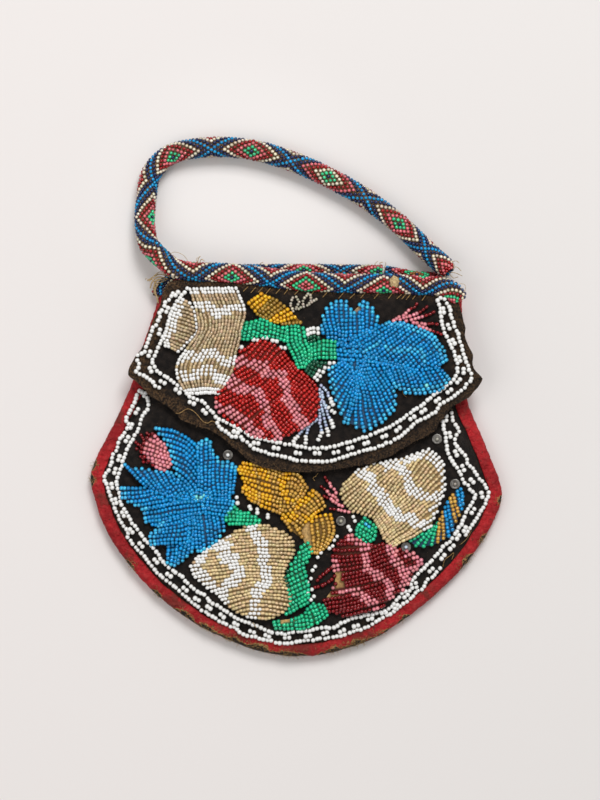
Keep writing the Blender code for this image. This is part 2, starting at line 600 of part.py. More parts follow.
FOLD = 0.6 * MM
TOP_EDGE = binding_top(0)
binding_section = [
    (BINDING_WIDTH, 0), (FOLD, 0), (0, TOP_EDGE / 2), (FOLD, TOP_EDGE), (BINDING_WIDTH, TOP_EDGE),
    (BINDING_WIDTH, TOP_EDGE - SILK), (SILK, TOP_EDGE - SILK),
    (SILK, SILK), (BINDING_WIDTH, SILK),
]
binding_lines = [inset(POCKET_LINE, d) for d, _ in binding_section]
skin(
    "edge_binding",
    [
        [(*line[i], z) for line, (_, z) in zip(binding_lines, binding_section)]
        for i in range(len(POCKET_LINE))
    ],
    "red_silk",
)

# Mouth: one flattened row of beaded rope along the top of each panel
back_row_y = MOUTH_Y + LAP + ROPE_WIDTH / 2
back_row_ends = [pocket_at((px, MOUTH_PX))[0] for px in (BACK_ROW_LEFT_PX, BACK_ROW_RIGHT_PX)]
back_row_line = np.array([(x, back_row_y) for x in np.linspace(*back_row_ends, 8)])
skin(
    "back_mouth_rope",
    row_loops(back_row_line, BACK_ROW_THICKNESS, lambda x, y: BACK_LEVEL),
    "beaded_rope",
)
skin(
    "front_mouth_rope",
    row_loops(FRONT_ROW_LINE, FRONT_ROW_THICKNESS, front_row_foot),
    "beaded_rope",
)

# Flap: its top edge meets the lower side of the front rope
flap_edge = [flap_at(p) for p in FLAP_SIDES]
flap_top_xs = [flap_at((px, FLAP_TOP_PX))[0] for px in (FLAP_TOP_RIGHT_PX, FLAP_TOP_LEFT_PX)]
row_order = FRONT_ROW_LINE[np.argsort(FRONT_ROW_LINE[:, 0])]
for x in np.linspace(*flap_top_xs, 9):
    row_y = float(np.interp(x, row_order[:, 0], row_order[:, 1]))
    flap_edge.append((x, row_y - ROPE_WIDTH / 2 - 2 * LAP))
skin(
    "flap",
    [
        [(x, y, flap_under(y)) for x, y in flap_edge],
        [(x, y, flap_top(x, y)) for x, y in flap_edge],
    ],
    "velvet",
)

# Handle: the same rope, round and loose, lying on the ground
handle_scale = HANDLE_RISE / HANDLE_RISE_PX
handle_flat = spaced(
    smooth([(pocket_at(p)[0], MOUTH_Y + (MOUTH_PX - p[1]) * handle_scale) for p in HANDLE_PATH], 8), 22
)
left_end_level = front_row_foot(*FRONT_ROW_LINE[0]) + FRONT_ROW_THICKNESS / 2
right_end_level = BACK_ROW_THICKNESS - HANDLE_SETTLE + HANDLE_DIAMETER / 2
ground_level = HANDLE_DIAMETER / 2
curve = bpy.data.curves.new("handle_rope", "CURVE")
curve.dimensions = "3D"
curve.bevel_depth = HANDLE_DIAMETER / 2
curve.bevel_resolution = 2
curve.use_fill_caps = True
curve.materials.append(material("beaded_rope"))
spline = curve.splines.new("POLY")
spline.points.add(len(handle_flat) - 1)
RISE_STEPS = 4  # the points over which each end of the handle comes up from the ground
for i, (x, y) in enumerate(handle_flat):
    from_left = max(0, 1 - i / RISE_STEPS)
    from_right = max(0, 1 - (len(handle_flat) - 1 - i) / RISE_STEPS)
    z = ground_level + (left_end_level - ground_level) * from_left**2
    z += (right_end_level - ground_level) * from_right**2
    spline.points[i].co = (x, y, z, 1)
bpy.context.scene.collection.objects.link(bpy.data.objects.new("handle_rope", curve))

# Beadwork
border(
    "flap_border_beads", flap_at, flap_top, LAP, FLAP_BORDER_OUTER, FLAP_BORDER_INNER, FLAP_BORDER_PAIRS
)
border(
    "front_border_beads", pocket_at, front_top, STIFF_LAP,
    FRONT_BORDER_OUTER, FRONT_BORDER_INNER, FRONT_BORDER_PAIRS,
)
for name, (beads, rows, guides) in FLAP_MOTIFS.items():
    pad(name, flap_at, flap_top, FLAP_ARCH, rows, guides, beads)
for name, (beads, rows, guides) in FRONT_MOTIFS.items():
    pad(name, pocket_at, front_top, FRONT_ARCH, rows, guides, beads)
for number, point in enumerate(SEQUINS, 1):
    sequin(f"sequin_{number}", point)
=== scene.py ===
"""The beaded bag's looks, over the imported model: cloth, silk, thread and every single bead."""

import math

import bmesh
import bpy
import numpy as np
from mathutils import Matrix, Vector
from mathutils.bvhtree import BVHTree
from mathutils.noise import noise


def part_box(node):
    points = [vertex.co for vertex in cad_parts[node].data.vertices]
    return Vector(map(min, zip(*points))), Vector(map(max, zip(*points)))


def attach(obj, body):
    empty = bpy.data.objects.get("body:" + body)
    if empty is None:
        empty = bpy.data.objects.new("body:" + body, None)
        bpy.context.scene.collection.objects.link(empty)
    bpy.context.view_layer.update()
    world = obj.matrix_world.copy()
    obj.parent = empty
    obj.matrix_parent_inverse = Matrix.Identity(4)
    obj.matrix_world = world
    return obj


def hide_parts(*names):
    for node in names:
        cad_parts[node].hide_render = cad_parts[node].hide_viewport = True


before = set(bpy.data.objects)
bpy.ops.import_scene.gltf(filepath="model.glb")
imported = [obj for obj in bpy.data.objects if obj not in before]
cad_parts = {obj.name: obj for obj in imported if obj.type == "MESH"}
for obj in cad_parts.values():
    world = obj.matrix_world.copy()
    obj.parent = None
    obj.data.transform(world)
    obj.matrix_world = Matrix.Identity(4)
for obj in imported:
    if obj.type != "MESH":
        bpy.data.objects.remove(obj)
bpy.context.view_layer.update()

# Ground, camera and lights: the bag lies on pale paper, and the camera looks straight down at it.
# Soft light comes from beyond the mouth, with a weaker lamp at the left. Places are given in pixels
# of the 600 x 800 photograph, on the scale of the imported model.
MM = 0.001
PX = 0.16 / 412
PHOTO_HEIGHT = 800 * PX
MIDDLE_PX = 296
MOUTH_PX = 289.5
MOUTH_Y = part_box("front_panel")[1][1]


def at(px, py):
    """Where a pixel of the photograph is on the bag, in metres."""
    return (px - MIDDLE_PX) * PX, MOUTH_Y - (py - MOUTH_PX) * PX


MIDDLE_LEVEL = 8 * MM
CAMERA_HEIGHT = 1.6
SENSOR_HEIGHT = 24
PAPER_SIDE = 6
WORLD_TINT = (1.0, 0.985, 0.965, 1)
WORLD_STRENGTH = 0.44
# Each lamp's name, power in watts, side in metres and place
LAMPS = (("key", 23, 0.8, (0.35, 1.2, 1.45)), ("fill", 2.2, 0.8, (-0.7, -0.2, 0.9)))

scene = bpy.context.scene
camera_data = bpy.data.cameras.new("camera")
camera_data.sensor_fit = "VERTICAL"
camera_data.sensor_height = SENSOR_HEIGHT
camera_data.lens = SENSOR_HEIGHT * (CAMERA_HEIGHT - MIDDLE_LEVEL) / PHOTO_HEIGHT
camera = bpy.data.objects.new("camera", camera_data)
scene.collection.objects.link(camera)
camera.location = (*at(300, 400), CAMERA_HEIGHT)
scene.camera = camera

for name, energy, size, place in LAMPS:
    lamp_data = bpy.data.lights.new(name, "AREA")
    lamp_data.energy = energy
    lamp_data.size = size
    lamp = bpy.data.objects.new(name, lamp_data)
    scene.collection.objects.link(lamp)
    lamp.location = place
    lamp.rotation_euler = (-Vector(place)).to_track_quat("-Z", "Y").to_euler()

world = bpy.data.worlds.new("world")
scene.world = world
world.use_nodes = True
background = world.node_tree.nodes["Background"]
background.inputs["Color"].default_value = WORLD_TINT
background.inputs["Strength"].default_value = WORLD_STRENGTH
scene.view_settings.view_transform = "Standard"


class Socket:
    """An output of a node, which can stand in a sum."""

    def __init__(self, nodes, socket):
        self.nodes = nodes
        self.socket = socket

    def __add__(self, other):
        return self.nodes.math("ADD", self, other)

    def __sub__(self, other):
        return self.nodes.math("SUBTRACT", self, other)

    def __rsub__(self, other):
        return self.nodes.math("SUBTRACT", other, self)

    def __mul__(self, other):
        return self.nodes.math("MULTIPLY", self, other)

    def __pow__(self, other):
        return self.nodes.math("POWER", self, other)

    def between(self, low, high):
        """0 below low, 1 above high, and smooth between them."""
        return self.nodes.add(
            "ShaderNodeMapRange", {"Value": self, "From Min": low, "From Max": high},
            interpolation_type="SMOOTHSTEP",
        )

    def tones(self, low, high, first, second):
        """The first colour below low, the second above high, and a smooth change between them."""
        return self.nodes.mix(self.between(low, high), first, second)


class Nodes:
    """Adds nodes to a tree and links them."""

    def __init__(self, tree):
        self.tree = tree

    def link(self, value, socket):
        if isinstance(value, Socket):
            self.tree.links.new(value.socket, socket)
        else:
            socket.default_value = value

    def add(self, kind, inputs=None, output=0, **settings):
        node = self.tree.nodes.new(kind)
        for name, value in settings.items():
            setattr(node, name, value)
        for key, value in (inputs or {}).items():
            self.link(value, node.inputs[key])
        return Socket(self, node.outputs[output])

    def math(self, operation, a, b=0.0):
        return self.add("ShaderNodeMath", {0: a, 1: b}, operation=operation)

    def mix(self, share, a, b):
        """Colour a where share is 0, and b where it is 1."""
        return self.add("ShaderNodeMix", {0: share, 6: a, 7: b}, output=2, data_type="RGBA")

    def own(self, output="Object"):
        """A place, or another output, in the object's own coordinates."""
        return self.add("ShaderNodeTexCoord", output=output)

    def part(self, vector, axis):
        return self.add("ShaderNodeSeparateXYZ", {0: vector}, output=axis)

    def noise(self, scale, detail=2.0):
        inputs = {"Scale": scale, "Detail": detail, "Vector": self.own()}
        return self.add("ShaderNodeTexNoise", inputs)

    def bump(self, height, strength, distance):
        inputs = {"Height": height, "Strength": strength, "Distance": distance}
        return self.add("ShaderNodeBump", inputs, output="Normal")


def srgb(red, green, blue):
    """A colour as the photograph shows it, in linear light."""
    return tuple(
        v / 255 / 12.92 if v <= 10 else ((v / 255 + 0.055) / 1.055) ** 2.4 for v in (red, green, blue)
    )


def paint(red, green, blue):
    """The same colour for a node, opaque."""
    return (*srgb(red, green, blue), 1)


class Finish(Nodes):
    """The nodes of a new material."""

    def __init__(self, name):
        self.material = bpy.data.materials.new(name)
        self.material.use_nodes = True
        super().__init__(self.material.node_tree)

    def shade(self, inputs):
        """Sets or links the inputs of the shader, and gives the material."""
        shader = self.tree.nodes["Principled BSDF"]
        for name, value in inputs.items():
            self.link(value, shader.inputs[name])
        return self.material


nodes = Finish("ground_paper")
spot = nodes.own()
across = nodes.part(spot, "X")
# Painted light on the paper: a lighter painted pool of light inside the handle, and painted shade that
# darkens the paper towards the right.
painted_light_pool = nodes.add(
    "ShaderNodeVectorMath", {0: spot, 1: (*at(240, 215), 0)}, operation="DISTANCE", output="Value",
)
painted_falloff_tone = across.tones(-0.12, 0.13, paint(236, 231, 229), paint(233, 229, 227))
ground_finish = nodes.shade({
    "Base Color": painted_light_pool.tones(0.015, 0.075, paint(243, 239, 237), painted_falloff_tone),
    "Roughness": 0.9,
    "Specular IOR Level": 0.1,
})
bpy.ops.mesh.primitive_plane_add(size=PAPER_SIDE)
ground = bpy.context.active_object
ground.name = "ground"
ground.data.materials.append(ground_finish)


# Glass seed beads: short rounded tubes of coloured glass, about 1.5 mm long. They are strung on
# thread and sewn down in rows. One tree lays a bead at each point of a mesh, turned along its row,
# and each bead is a little larger or smaller than the next.
BEAD_SIDES = 8
BEAD_STEPS = 4
END_TAPER = 0.48  # how much narrower a bead is at its ends
SIZE_JITTER = 0.08
BRIGHTEST = 0.92  # no part of a bead is painted lighter than this

nodes = Finish("bead_glass")
tint = nodes.add("ShaderNodeAttribute", output="Color", attribute_name="tint")
cloud = nodes.noise(900.0)
# Painted highlight and shade: each bead is painted lighter along its upward crest and darker down its sides
painted_crest_light = nodes.part(nodes.own("Normal"), "Z").between(0.72, 1.0)
tone_and_painted_light = (cloud.between(0.25, 0.75) * 0.35 + 0.85) * (painted_crest_light * 0.6 + 0.83)
tone_and_painted_light = nodes.add("ShaderNodeHueSaturation", {"Color": tint, "Value": tone_and_painted_light})
bead_finish = nodes.shade({
    "Base Color": nodes.add("ShaderNodeVectorMath", {0: tone_and_painted_light, 1: (BRIGHTEST,) * 3}, operation="MINIMUM"),
    "Roughness": 0.2,
    "Coat Weight": 0.5,
    "Coat Roughness": 0.06,
    "Specular IOR Level": 0.25,
})

bead_tree = bpy.data.node_groups.new("lay_beads", "GeometryNodeTree")
bead_tree.interface.new_socket("Geometry", in_out="INPUT", socket_type="NodeSocketGeometry")
for socket_name, kind, value in (
    ("Sides", "NodeSocketInt", BEAD_SIDES),
    ("Size Jitter", "NodeSocketFloat", SIZE_JITTER),
    ("Seed", "NodeSocketInt", 3),
):
    made = bead_tree.interface.new_socket(socket_name, in_out="INPUT", socket_type=kind)
    made.default_value = value
bead_tree.interface.new_socket("Material", in_out="INPUT", socket_type="NodeSocketMaterial")
bead_tree.interface.new_socket("Geometry", in_out="OUTPUT", socket_type="NodeSocketGeometry")
nodes = Nodes(bead_tree)
given = bead_tree.nodes.new("NodeGroupInput")
taken = bead_tree.nodes.new("NodeGroupOutput")
given_geometry, sides, jitter, seed, given_material = [Socket(nodes, s) for s in given.outputs[:5]]
tube = nodes.add(
    "GeometryNodeMeshCylinder",
    {"Vertices": sides, "Side Segments": BEAD_STEPS, "Radius": 0.5, "Depth": 1.0}, fill_type="NONE",
)
place = nodes.add("GeometryNodeInputPosition")
height = nodes.part(place, "Z")
bulge = 1.0 - (nodes.math("ABSOLUTE", height) * 2.0) ** 3.0 * END_TAPER
round_place = nodes.add(
    "ShaderNodeVectorMath",
    {0: place, 1: nodes.add("ShaderNodeCombineXYZ", {"X": bulge, "Y": bulge, "Z": 1.0})},
    operation="MULTIPLY",
)
tube = nodes.add("GeometryNodeSetPosition", {"Geometry": tube, "Position": round_place})
tube = nodes.add("GeometryNodeSetShadeSmooth", {"Geometry": tube})
along, up, size = [
    nodes.add("GeometryNodeInputNamedAttribute", {"Name": name}, data_type="FLOAT_VECTOR")
    for name in ("along", "up", "size")
]
turn = nodes.add(
    "FunctionNodeAxesToRotation", {0: along, 1: up}, primary_axis="Z", secondary_axis="X",
)
swell = nodes.add("FunctionNodeRandomValue", {2: 1.0 - jitter, 3: jitter + 1.0, "Seed": seed}, output=1)
size = nodes.add("ShaderNodeVectorMath", {0: size, "Scale": swell}, operation="SCALE")
laid = nodes.add(
    "GeometryNodeInstanceOnPoints",
    {"Points": given_geometry, "Instance": tube, "Rotation": turn, "Scale": size},
)
laid = nodes.add("GeometryNodeRealizeInstances", {"Geometry": laid})
laid = nodes.add("GeometryNodeSetMaterial", {"Geometry": laid, "Material": given_material})
bead_tree.links.new(laid.socket, taken.inputs[0])


def link_piece(name, mesh, finish, nodes_replaced=()):
    """A piece of the bag, riding on its one body."""
    piece = bpy.data.objects.new(name, mesh)
    scene.collection.objects.link(piece)
    if finish:
        mesh.materials.append(finish)
    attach(piece, "root")
    if nodes_replaced:
        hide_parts(*nodes_replaced)
    return piece


def smooth_mesh(name, points, faces, outward=False, **layers):
    """A mesh with smooth faces. layers give a number for each point; outward turns the faces out."""
    mesh = bpy.data.meshes.new(name)
    mesh.from_pydata(points, [], faces)
    for key, values in layers.items():
        layer = mesh.attributes.new(key, "FLOAT", "POINT")
        layer.data.foreach_set("value", np.array(values, "f"))
    if outward:
        built = bmesh.new()
        built.from_mesh(mesh)
        bmesh.ops.recalc_face_normals(built, faces=built.faces)
        built.to_mesh(mesh)
        built.free()
    mesh.polygons.foreach_set("use_smooth", [True] * len(mesh.polygons))
    return mesh


dice = np.random.default_rng(7)


def bead_piece(name, beads, nodes_replaced=()):
    """Lays a bead at each place. A bead is (place, along, up, width, length, tint)."""
    mesh = bpy.data.meshes.new(name)
    mesh.from_pydata([b[0] for b in beads], [], [])
    for key, values in (
        ("along", [b[1] for b in beads]),
        ("up", [b[2] for b in beads]),
        ("size", [(b[3], b[3], b[4]) for b in beads]),
    ):
        layer = mesh.attributes.new(key, "FLOAT_VECTOR", "POINT")
        layer.data.foreach_set("vector", np.array(values, "f").ravel())
    layer = mesh.attributes.new("tint", "FLOAT_COLOR", "POINT")
    tints = np.array([b[5] for b in beads], "f")
    pale = (tints.min(axis=1) > 0.6)[:, None]
    tone = np.where(pale, dice.uniform(0.93, 1.04, pale.shape), dice.uniform(0.68, 1.1, pale.shape))
    tints = tints * tone * np.where(pale, 1, dice.uniform(0.94, 1.06, tints.shape))
    colours = np.concatenate([np.clip(tints, 0, 1), np.ones((len(beads), 1))], axis=1)
    layer.data.foreach_set("color", colours.astype("f").ravel())
    piece = link_piece(name, mesh, None, nodes_replaced)
    modifier = piece.modifiers.new("lay_beads", "NODES")
    modifier.node_group = bead_tree
    values = {
        "Sides": BEAD_SIDES, "Size Jitter": SIZE_JITTER, "Seed": len(beads), "Material": bead_finish,
    }
    for item in bead_tree.interface.items_tree:
        if item.in_out == "INPUT" and item.name in values:
            modifier[item.identifier] = values[item.name]
    depsgraph = bpy.context.evaluated_depsgraph_get()
    laid_mesh = bpy.data.meshes.new_from_object(piece.evaluated_get(depsgraph))
    laid_mesh.name = name
    piece.modifiers.clear()
    piece.data = laid_mesh
    return piece


# Cloth: a front and a back panel of dark velvet, each over a plain woven lining, and a flap of the
# same velvet that is sewn along the mouth and laid over the front. The pile is brown and bare where
# it is rubbed, most of all along the flap's lower edge.
CLOTH_RINGS = 22
FRONT_THICKNESS = 0.8 * MM
FLAP_THICKNESS = 1.0 * MM
POCKET_EDGE = [
    (161, 289.5), (152, 318), (143, 345), (134, 378), (121, 408), (107, 436), (98, 453),
    (92, 467), (90, 479), (92, 490), (98, 510), (105, 528), (116, 548), (132, 569), (154, 593),
    (179, 613), (205, 630), (232, 642), (262, 652), (292, 657), (322, 655), (350, 648),
    (378, 637), (405, 619), (430, 600), (450, 582), (468, 562), (486, 536), (497, 514),
    (502, 496), (499, 478), (492, 460), (482, 436), (473, 416), (467, 396), (463, 345),
    (462, 289.5),
]
FLAP_EDGE = [
    (164, 290), (160, 305), (152, 325), (143, 347), (137, 355), (133, 362), (129, 370),
    (129, 375), (134, 380), (147, 392), (151, 396), (163, 403), (175, 412), (182, 420),
    (198, 426), (214, 432), (236, 449), (255, 464), (276, 470), (305, 472), (324, 471),
    (349, 467), (368, 464), (390, 456), (410, 444), (431, 433), (441, 421), (451, 408),
    (467, 398), (474, 391), (482, 380), (478, 373), (473, 368), (471, 352), (466, 340),
    (464, 328), (462, 315), (458, 303), (456, 297), (452, 293),
]
FLAP_TOP = [
    (440, 292), (405, 291), (345, 290), (290, 286), (231, 281), (190, 280), (174, 281), (167, 285),
]
MOUTH_LINE = [
    (461.5, 296), (459, 291), (452, 289.5), (380, 289.5), (240, 289.5), (171, 289.5), (164, 291),
]


def smooth(path, steps):
    """Points on a curve through the path's own points, steps to each stretch."""
    points = np.array([path[0], *path, path[-1]], float)
    made = []
    for i in range(1, len(points) - 2):
        a, b, c, d = points[i - 1 : i + 3]
        for k in range(steps):
            t = k / steps
            bend = (2 * a - 5 * b + 4 * c - d) * t**2 + (3 * b - a - 3 * c + d) * t**3
            made.append(0.5 * (2 * b + (c - a) * t + bend))
    made.append(points[-1])
    return np.array(made)


def reach_of(path):
    """How far along the path each of its points is."""
    return np.concatenate([[0], np.cumsum(np.linalg.norm(np.diff(path, axis=0), axis=1))])


def spaced(path, places):
    """Points of the path at the given distances along it."""
    path = np.asarray(path, float)
    reach = reach_of(path)
    return np.stack([np.interp(places, reach, path[:, k]) for k in range(path.shape[1])], axis=1)


def cad_level(name):
    """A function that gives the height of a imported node's top at a place."""
    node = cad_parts[name]
    points = [node.matrix_world @ v.co for v in node.data.vertices]
    tree = BVHTree.FromPolygons(points, [tuple(p.vertices) for p in node.data.polygons])

    def level(x, y):
        hit = tree.ray_cast(Vector((x, y, 0.1)), Vector((0, 0, -1)))[0]
        if hit is None:
            hit = tree.find_nearest(Vector((x, y, 0.02)))[0]
        return hit.z

    return level


def closed_line(path, count):
    """A closed line of evenly spaced points."""
    ring = smooth([*path, path[0]], 6)
    return spaced(ring, np.arange(count) * reach_of(ring)[-1] / count)


def cloth(name, edge, middle, level, thickness, fray, finish, nodes_replaced):
    """A closed piece of cloth inside an edge line. It follows level and its edge is uneven."""
    count = len(edge)
    rings = CLOTH_RINGS
    middle = np.array(middle)
    points, faces, edge_share = [], [], []
    for side in (0, 1):
        for r in range(rings):
            share = 1 - (r / rings) ** 1.15
            for i, p in enumerate(edge):
                ragged = 1 + fray * noise(Vector((i * 0.35, 3.1, r * 0.4))) * share**6
                x, y = middle + (p - middle) * share * ragged
                z = level(x, y) + 0.25 * MM * noise(Vector((x, y, 0)) * 90) * (1 - share**8)
                rim = 0.5 * thickness * max(0.0, share - 0.985) / 0.015
                points.append((x, y, z - rim if side else z - thickness + rim))
                edge_share.append(share)
        x, y = middle
        points.append((x, y, level(x, y) - (0 if side else thickness)))
        edge_share.append(0)
    size = rings * count + 1
    for side in (0, 1):
        base = side * size
        for r in range(rings - 1):
            for i in range(count):
                j = (i + 1) % count
                quad = (base + r * count + i, base + r * count + j,
                        base + (r + 1) * count + j, base + (r + 1) * count + i)
                faces.append(quad)
        for i in range(count):
            faces.append((base + (rings - 1) * count + i, base + (rings - 1) * count + (i + 1) % count,
                          base + rings * count))
    for i in range(count):
        j = (i + 1) % count
        faces.append((i, j, size + j, size + i))
    mesh = smooth_mesh(name, points, faces, outward=True, edge=edge_share)
    return link_piece(name, mesh, finish, nodes_replaced)


def dress_node(name, finish):
    """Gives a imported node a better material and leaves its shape."""
    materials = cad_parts[name].data.materials
    materials.clear()
    materials.append(finish)


def velvet_finish(name, wear_from, wear_to, worn):
    """Dark pile with painted glints on its fibres, brown and bare where it is rubbed."""
    nodes = Finish(name)
    edge = nodes.add("ShaderNodeAttribute", output="Fac", attribute_name="edge")
    blotch = nodes.noise(60.0, 4.0)
    clump = nodes.noise(420.0, 4.0)
    pile = nodes.noise(3200.0, 3.0)
    tuft = nodes.noise(1300.0, 3.0)
    rubbed = (edge + (blotch - 0.5) * 0.2 + (clump - 0.5) * 0.08).between(wear_from, wear_to)
    rubbed = rubbed * (clump * 0.6 + tuft * 0.4).between(0.3, 0.62) * worn
    rubbed = rubbed * (1.0 - nodes.part(nodes.own(), "X").between(-0.025, 0.02) * 0.45)
    dark = clump.tones(0.3, 0.75, paint(18, 15, 14), paint(40, 33, 29))
    # Painted highlight: pale specks on the dark pile stand for glints of light on the fibre tips
    dark = nodes.mix(pile.between(0.6, 0.85) * 0.3, dark, paint(92, 80, 68))
    brown = tuft.tones(0.35, 0.7, paint(38, 27, 19), paint(104, 78, 52))
    brown = nodes.mix(pile.between(0.55, 0.8) * 0.5, brown, paint(140, 112, 78))
    return nodes.shade({
        "Base Color": nodes.mix(rubbed, dark, brown),
        "Roughness": 0.95,
        "Sheen Weight": 0.12,
        "Sheen Roughness": 0.5,
        "Specular IOR Level": 0.15,
        "Normal": nodes.bump(pile + clump + tuft, 0.8, 0.0005),
    })


front_velvet = velvet_finish("front_velvet", 0.9, 1.0, 0.6)
flap_velvet = velvet_finish("flap_velvet", 0.86, 0.97, 0.9)

pocket_line = np.array([at(*p) for p in POCKET_EDGE])
pocket_centre = at(296, 440)
pocket_ring = closed_line(np.array([at(*p) for p in (*POCKET_EDGE[1:-1], *MOUTH_LINE)]), 240)
inner_ring = np.array(pocket_centre) + (pocket_ring - pocket_centre) * 0.985
front_cloth = cloth(
    "front_cloth", inner_ring, pocket_centre, cad_level("front_panel"), FRONT_THICKNESS, 0.0, front_velvet,
    ["front_panel"],
)

flap_ring = closed_line(np.array([at(*p) for p in (*FLAP_EDGE, *FLAP_TOP)]), 260)
flap_centre = at(300, 365)
flap_cloth = cloth(
    "flap_cloth", flap_ring, flap_centre, cad_level("flap"), FLAP_THICKNESS, 0.012, flap_velvet, ["flap"],
)

back_velvet = velvet_finish("back_velvet", 0.9, 1.0, 0.5)
dress_node("back_panel", back_velvet)

nodes = Finish("lining_weave")
weave = nodes.add("ShaderNodeTexChecker", {"Vector": nodes.own(), "Scale": 2200.0}, output="Fac")
plain = nodes.noise(40.0, 4.0).tones(0.35, 0.7, paint(150, 118, 76), paint(176, 146, 100))
lining_finish = nodes.shade({
    "Base Color": nodes.mix(weave * 0.3, plain, paint(96, 72, 44)),
    "Roughness": 0.9,
})
for name in ("back_lining", "front_lining"):
    dress_node(name, lining_finish)


# Edge binding: a red silk ribbon, folded over the edges of both panels and sewn through them. It is
# puckered all the way round, soiled, and worn through to its tan lining, most of all at the bottom.
nodes = Finish("worn_silk")
worn, soil, across = [
    nodes.add("ShaderNodeAttribute", output="Fac", attribute_name=name)
    for name in ("worn", "soil", "across")
]
grain = nodes.noise(2600.0, 2.0)
patch = nodes.noise(130.0, 5.0)
crease = nodes.noise(420.0, 4.0)
pucker = nodes.noise(900.0, 3.0)
red = patch.tones(0.3, 0.7, paint(146, 18, 24), paint(194, 34, 40))
red = nodes.mix(crease.between(0.45, 0.75) * 0.4, red, paint(202, 74, 70))
red = nodes.mix(pucker.between(0.35, 0.6) * 0.35, red, paint(128, 14, 20))
soiled = (soil + 0.15 + (patch - 0.5) * 1.6 + (crease - 0.5) * 1.1).between(0.35, 0.85) * 0.8
red = nodes.mix(soiled, red, paint(104, 40, 30))
specks = nodes.noise(520.0, 3.0).between(0.64, 0.7) * 0.7
red = nodes.mix(specks, red, paint(70, 34, 26))
lining = grain.tones(0.3, 0.7, paint(112, 82, 46), paint(186, 150, 92))
torn = worn + (nodes.noise(330.0, 5.0) - 0.5) * 2.2 * worn.between(0.1, 0.6)
torn = torn + (nodes.noise(1500.0, 4.0) - 0.5) * 1.6 * worn.between(0.1, 0.6)
silk = (torn * 0.6 - across).tones(0.0, 0.03, red, lining)
silk_finish = nodes.shade({
    "Base Color": (torn * 0.42 - across).tones(0.0, 0.03, silk, paint(34, 26, 20)),
    "Roughness": 0.62,
    "Specular IOR Level": 0.25,
    "Normal": nodes.bump(grain * 0.3 + crease * 2.0 + pucker, 0.9, 0.0009),
})

SILK_STATIONS = 620
binding_path = smooth(pocket_line, 8)
length = reach_of(binding_path)[-1]
binding_path = spaced(binding_path, np.linspace(0, length, SILK_STATIONS))
ahead = np.gradient(binding_path, axis=0)
inward_side = np.stack([-ahead[:, 1], ahead[:, 0]], axis=1)
inward_side /= np.linalg.norm(inward_side, axis=1)[:, None]
# Places where the silk is worn or soiled: the pixel, the size in pixels and the strength
WORN_SPOTS = [
    ((91, 464), 5, 1.0), ((90, 480), 5, 0.9), ((129, 566), 5, 1.0), ((156, 596), 6, 0.9),
    ((184, 617), 11, 0.8), ((205, 632), 12, 1.0), ((230, 644), 14, 1.1), ((258, 653), 14, 1.2),
    ((288, 658), 14, 1.1), ((333, 653), 12, 0.9), ((358, 647), 14, 1.2), ((382, 637), 9, 0.7),
    ((404, 620), 6, 0.9), ((467, 562), 8, 0.9), ((484, 540), 6, 0.6), ((499, 500), 5, 0.5),
]
SOIL_SPOTS = [
    ((116, 420), 12, 0.6), ((104, 500), 12, 0.5), ((124, 560), 12, 0.6), ((170, 604), 14, 0.7),
    ((240, 646), 26, 0.6), ((300, 648), 24, 0.7), ((360, 640), 20, 0.6), ((430, 592), 14, 0.4),
    ((494, 480), 10, 0.4), ((470, 410), 9, 0.4),
]
TOP_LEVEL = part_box("edge_binding")[1][2]
RIBBON_WIDTH = 4.9 * MM
RIBBON_TOP = 5.0 * MM  # the top that the section below is drawn for
# From underneath round the edge to the top and back inside: the share of the width, and a level in mm
RIBBON_SECTION = [
    (1.00, 0.55), (0.80, 0.30), (0.5, 0.12), (0.25, 0.05), (0.08, 0.3), (0.0, 1.2), (-0.02, 2.4),
    (0.0, 3.6), (0.08, 4.55), (0.22, 5.0), (0.45, 5.2), (0.7, 5.25), (0.92, 5.2), (1.0, 4.95),
    (0.9, 4.6), (0.5, 4.5), (0.2, 4.2), (0.14, 2.4), (0.2, 0.9), (0.6, 0.75),
]


def strongest(x, y, spots):
    """How strong the spots are at a place: the strongest one counts."""
    found = 0
    for spot, size, much in spots:
        gap = math.dist((x, y), at(*spot)) / (size * PX)
        found = max(found, much * math.exp(-(gap**2)))
    return found


points, faces, worn_values, soil_values, across_values = [], [], [], [], []
for s in range(SILK_STATIONS):
    x0, y0 = binding_path[s]
    run = s * length / SILK_STATIONS
    wide = RIBBON_WIDTH * (1 + 0.10 * noise(Vector((run * 180, 0.3, 0))))
    pucker = noise(Vector((run * 420, 5.2, 0))) + 0.8 * noise(Vector((run * 1100, 7.7, 0)))
    sag = noise(Vector((run * 60, 9.2, 0))) + 0.8 * noise(Vector((run * 330, 2.2, 0)))
    sag += 0.5 * noise(Vector((run * 1500, 1.1, 0)))
    for across, rise in RIBBON_SECTION:
        crease = 0.22 * noise(Vector((run * 900 + across * 2.0, across * 2.5, rise)))
        inset = across * wide - 0.25 * MM * sag * (across < 0.5)
        x = x0 + inward_side[s][0] * inset
        y = y0 + inward_side[s][1] * inset
        z = rise * MM * TOP_LEVEL / RIBBON_TOP
        if rise > 4:
            z += (0.28 * pucker + crease) * MM
        elif rise > 0.6:
            x -= inward_side[s][0] * crease * MM
            y -= inward_side[s][1] * crease * MM
        points.append((x, y, max(z, 0.02 * MM)))
        worn_values.append(strongest(x, y, WORN_SPOTS))
        soil_values.append(strongest(x, y, SOIL_SPOTS))
        across_values.append(across if rise > 4 else (4.0 - rise) / 7)
around = len(RIBBON_SECTION)
for s in range(SILK_STATIONS - 1):
    for k in range(around):
        n = (k + 1) % around
        faces.append((s * around + k, s * around + n, (s + 1) * around + n, (s + 1) * around + k))
faces.append(tuple(range(around)))
faces.append(tuple(range((SILK_STATIONS - 1) * around, SILK_STATIONS * around)))
mesh = smooth_mesh(
    "silk_binding", points, faces, outward=True, worn=worn_values, soil=soil_values, across=across_values,
)
silk_binding = link_piece("silk_binding", mesh, silk_finish, ["edge_binding"])


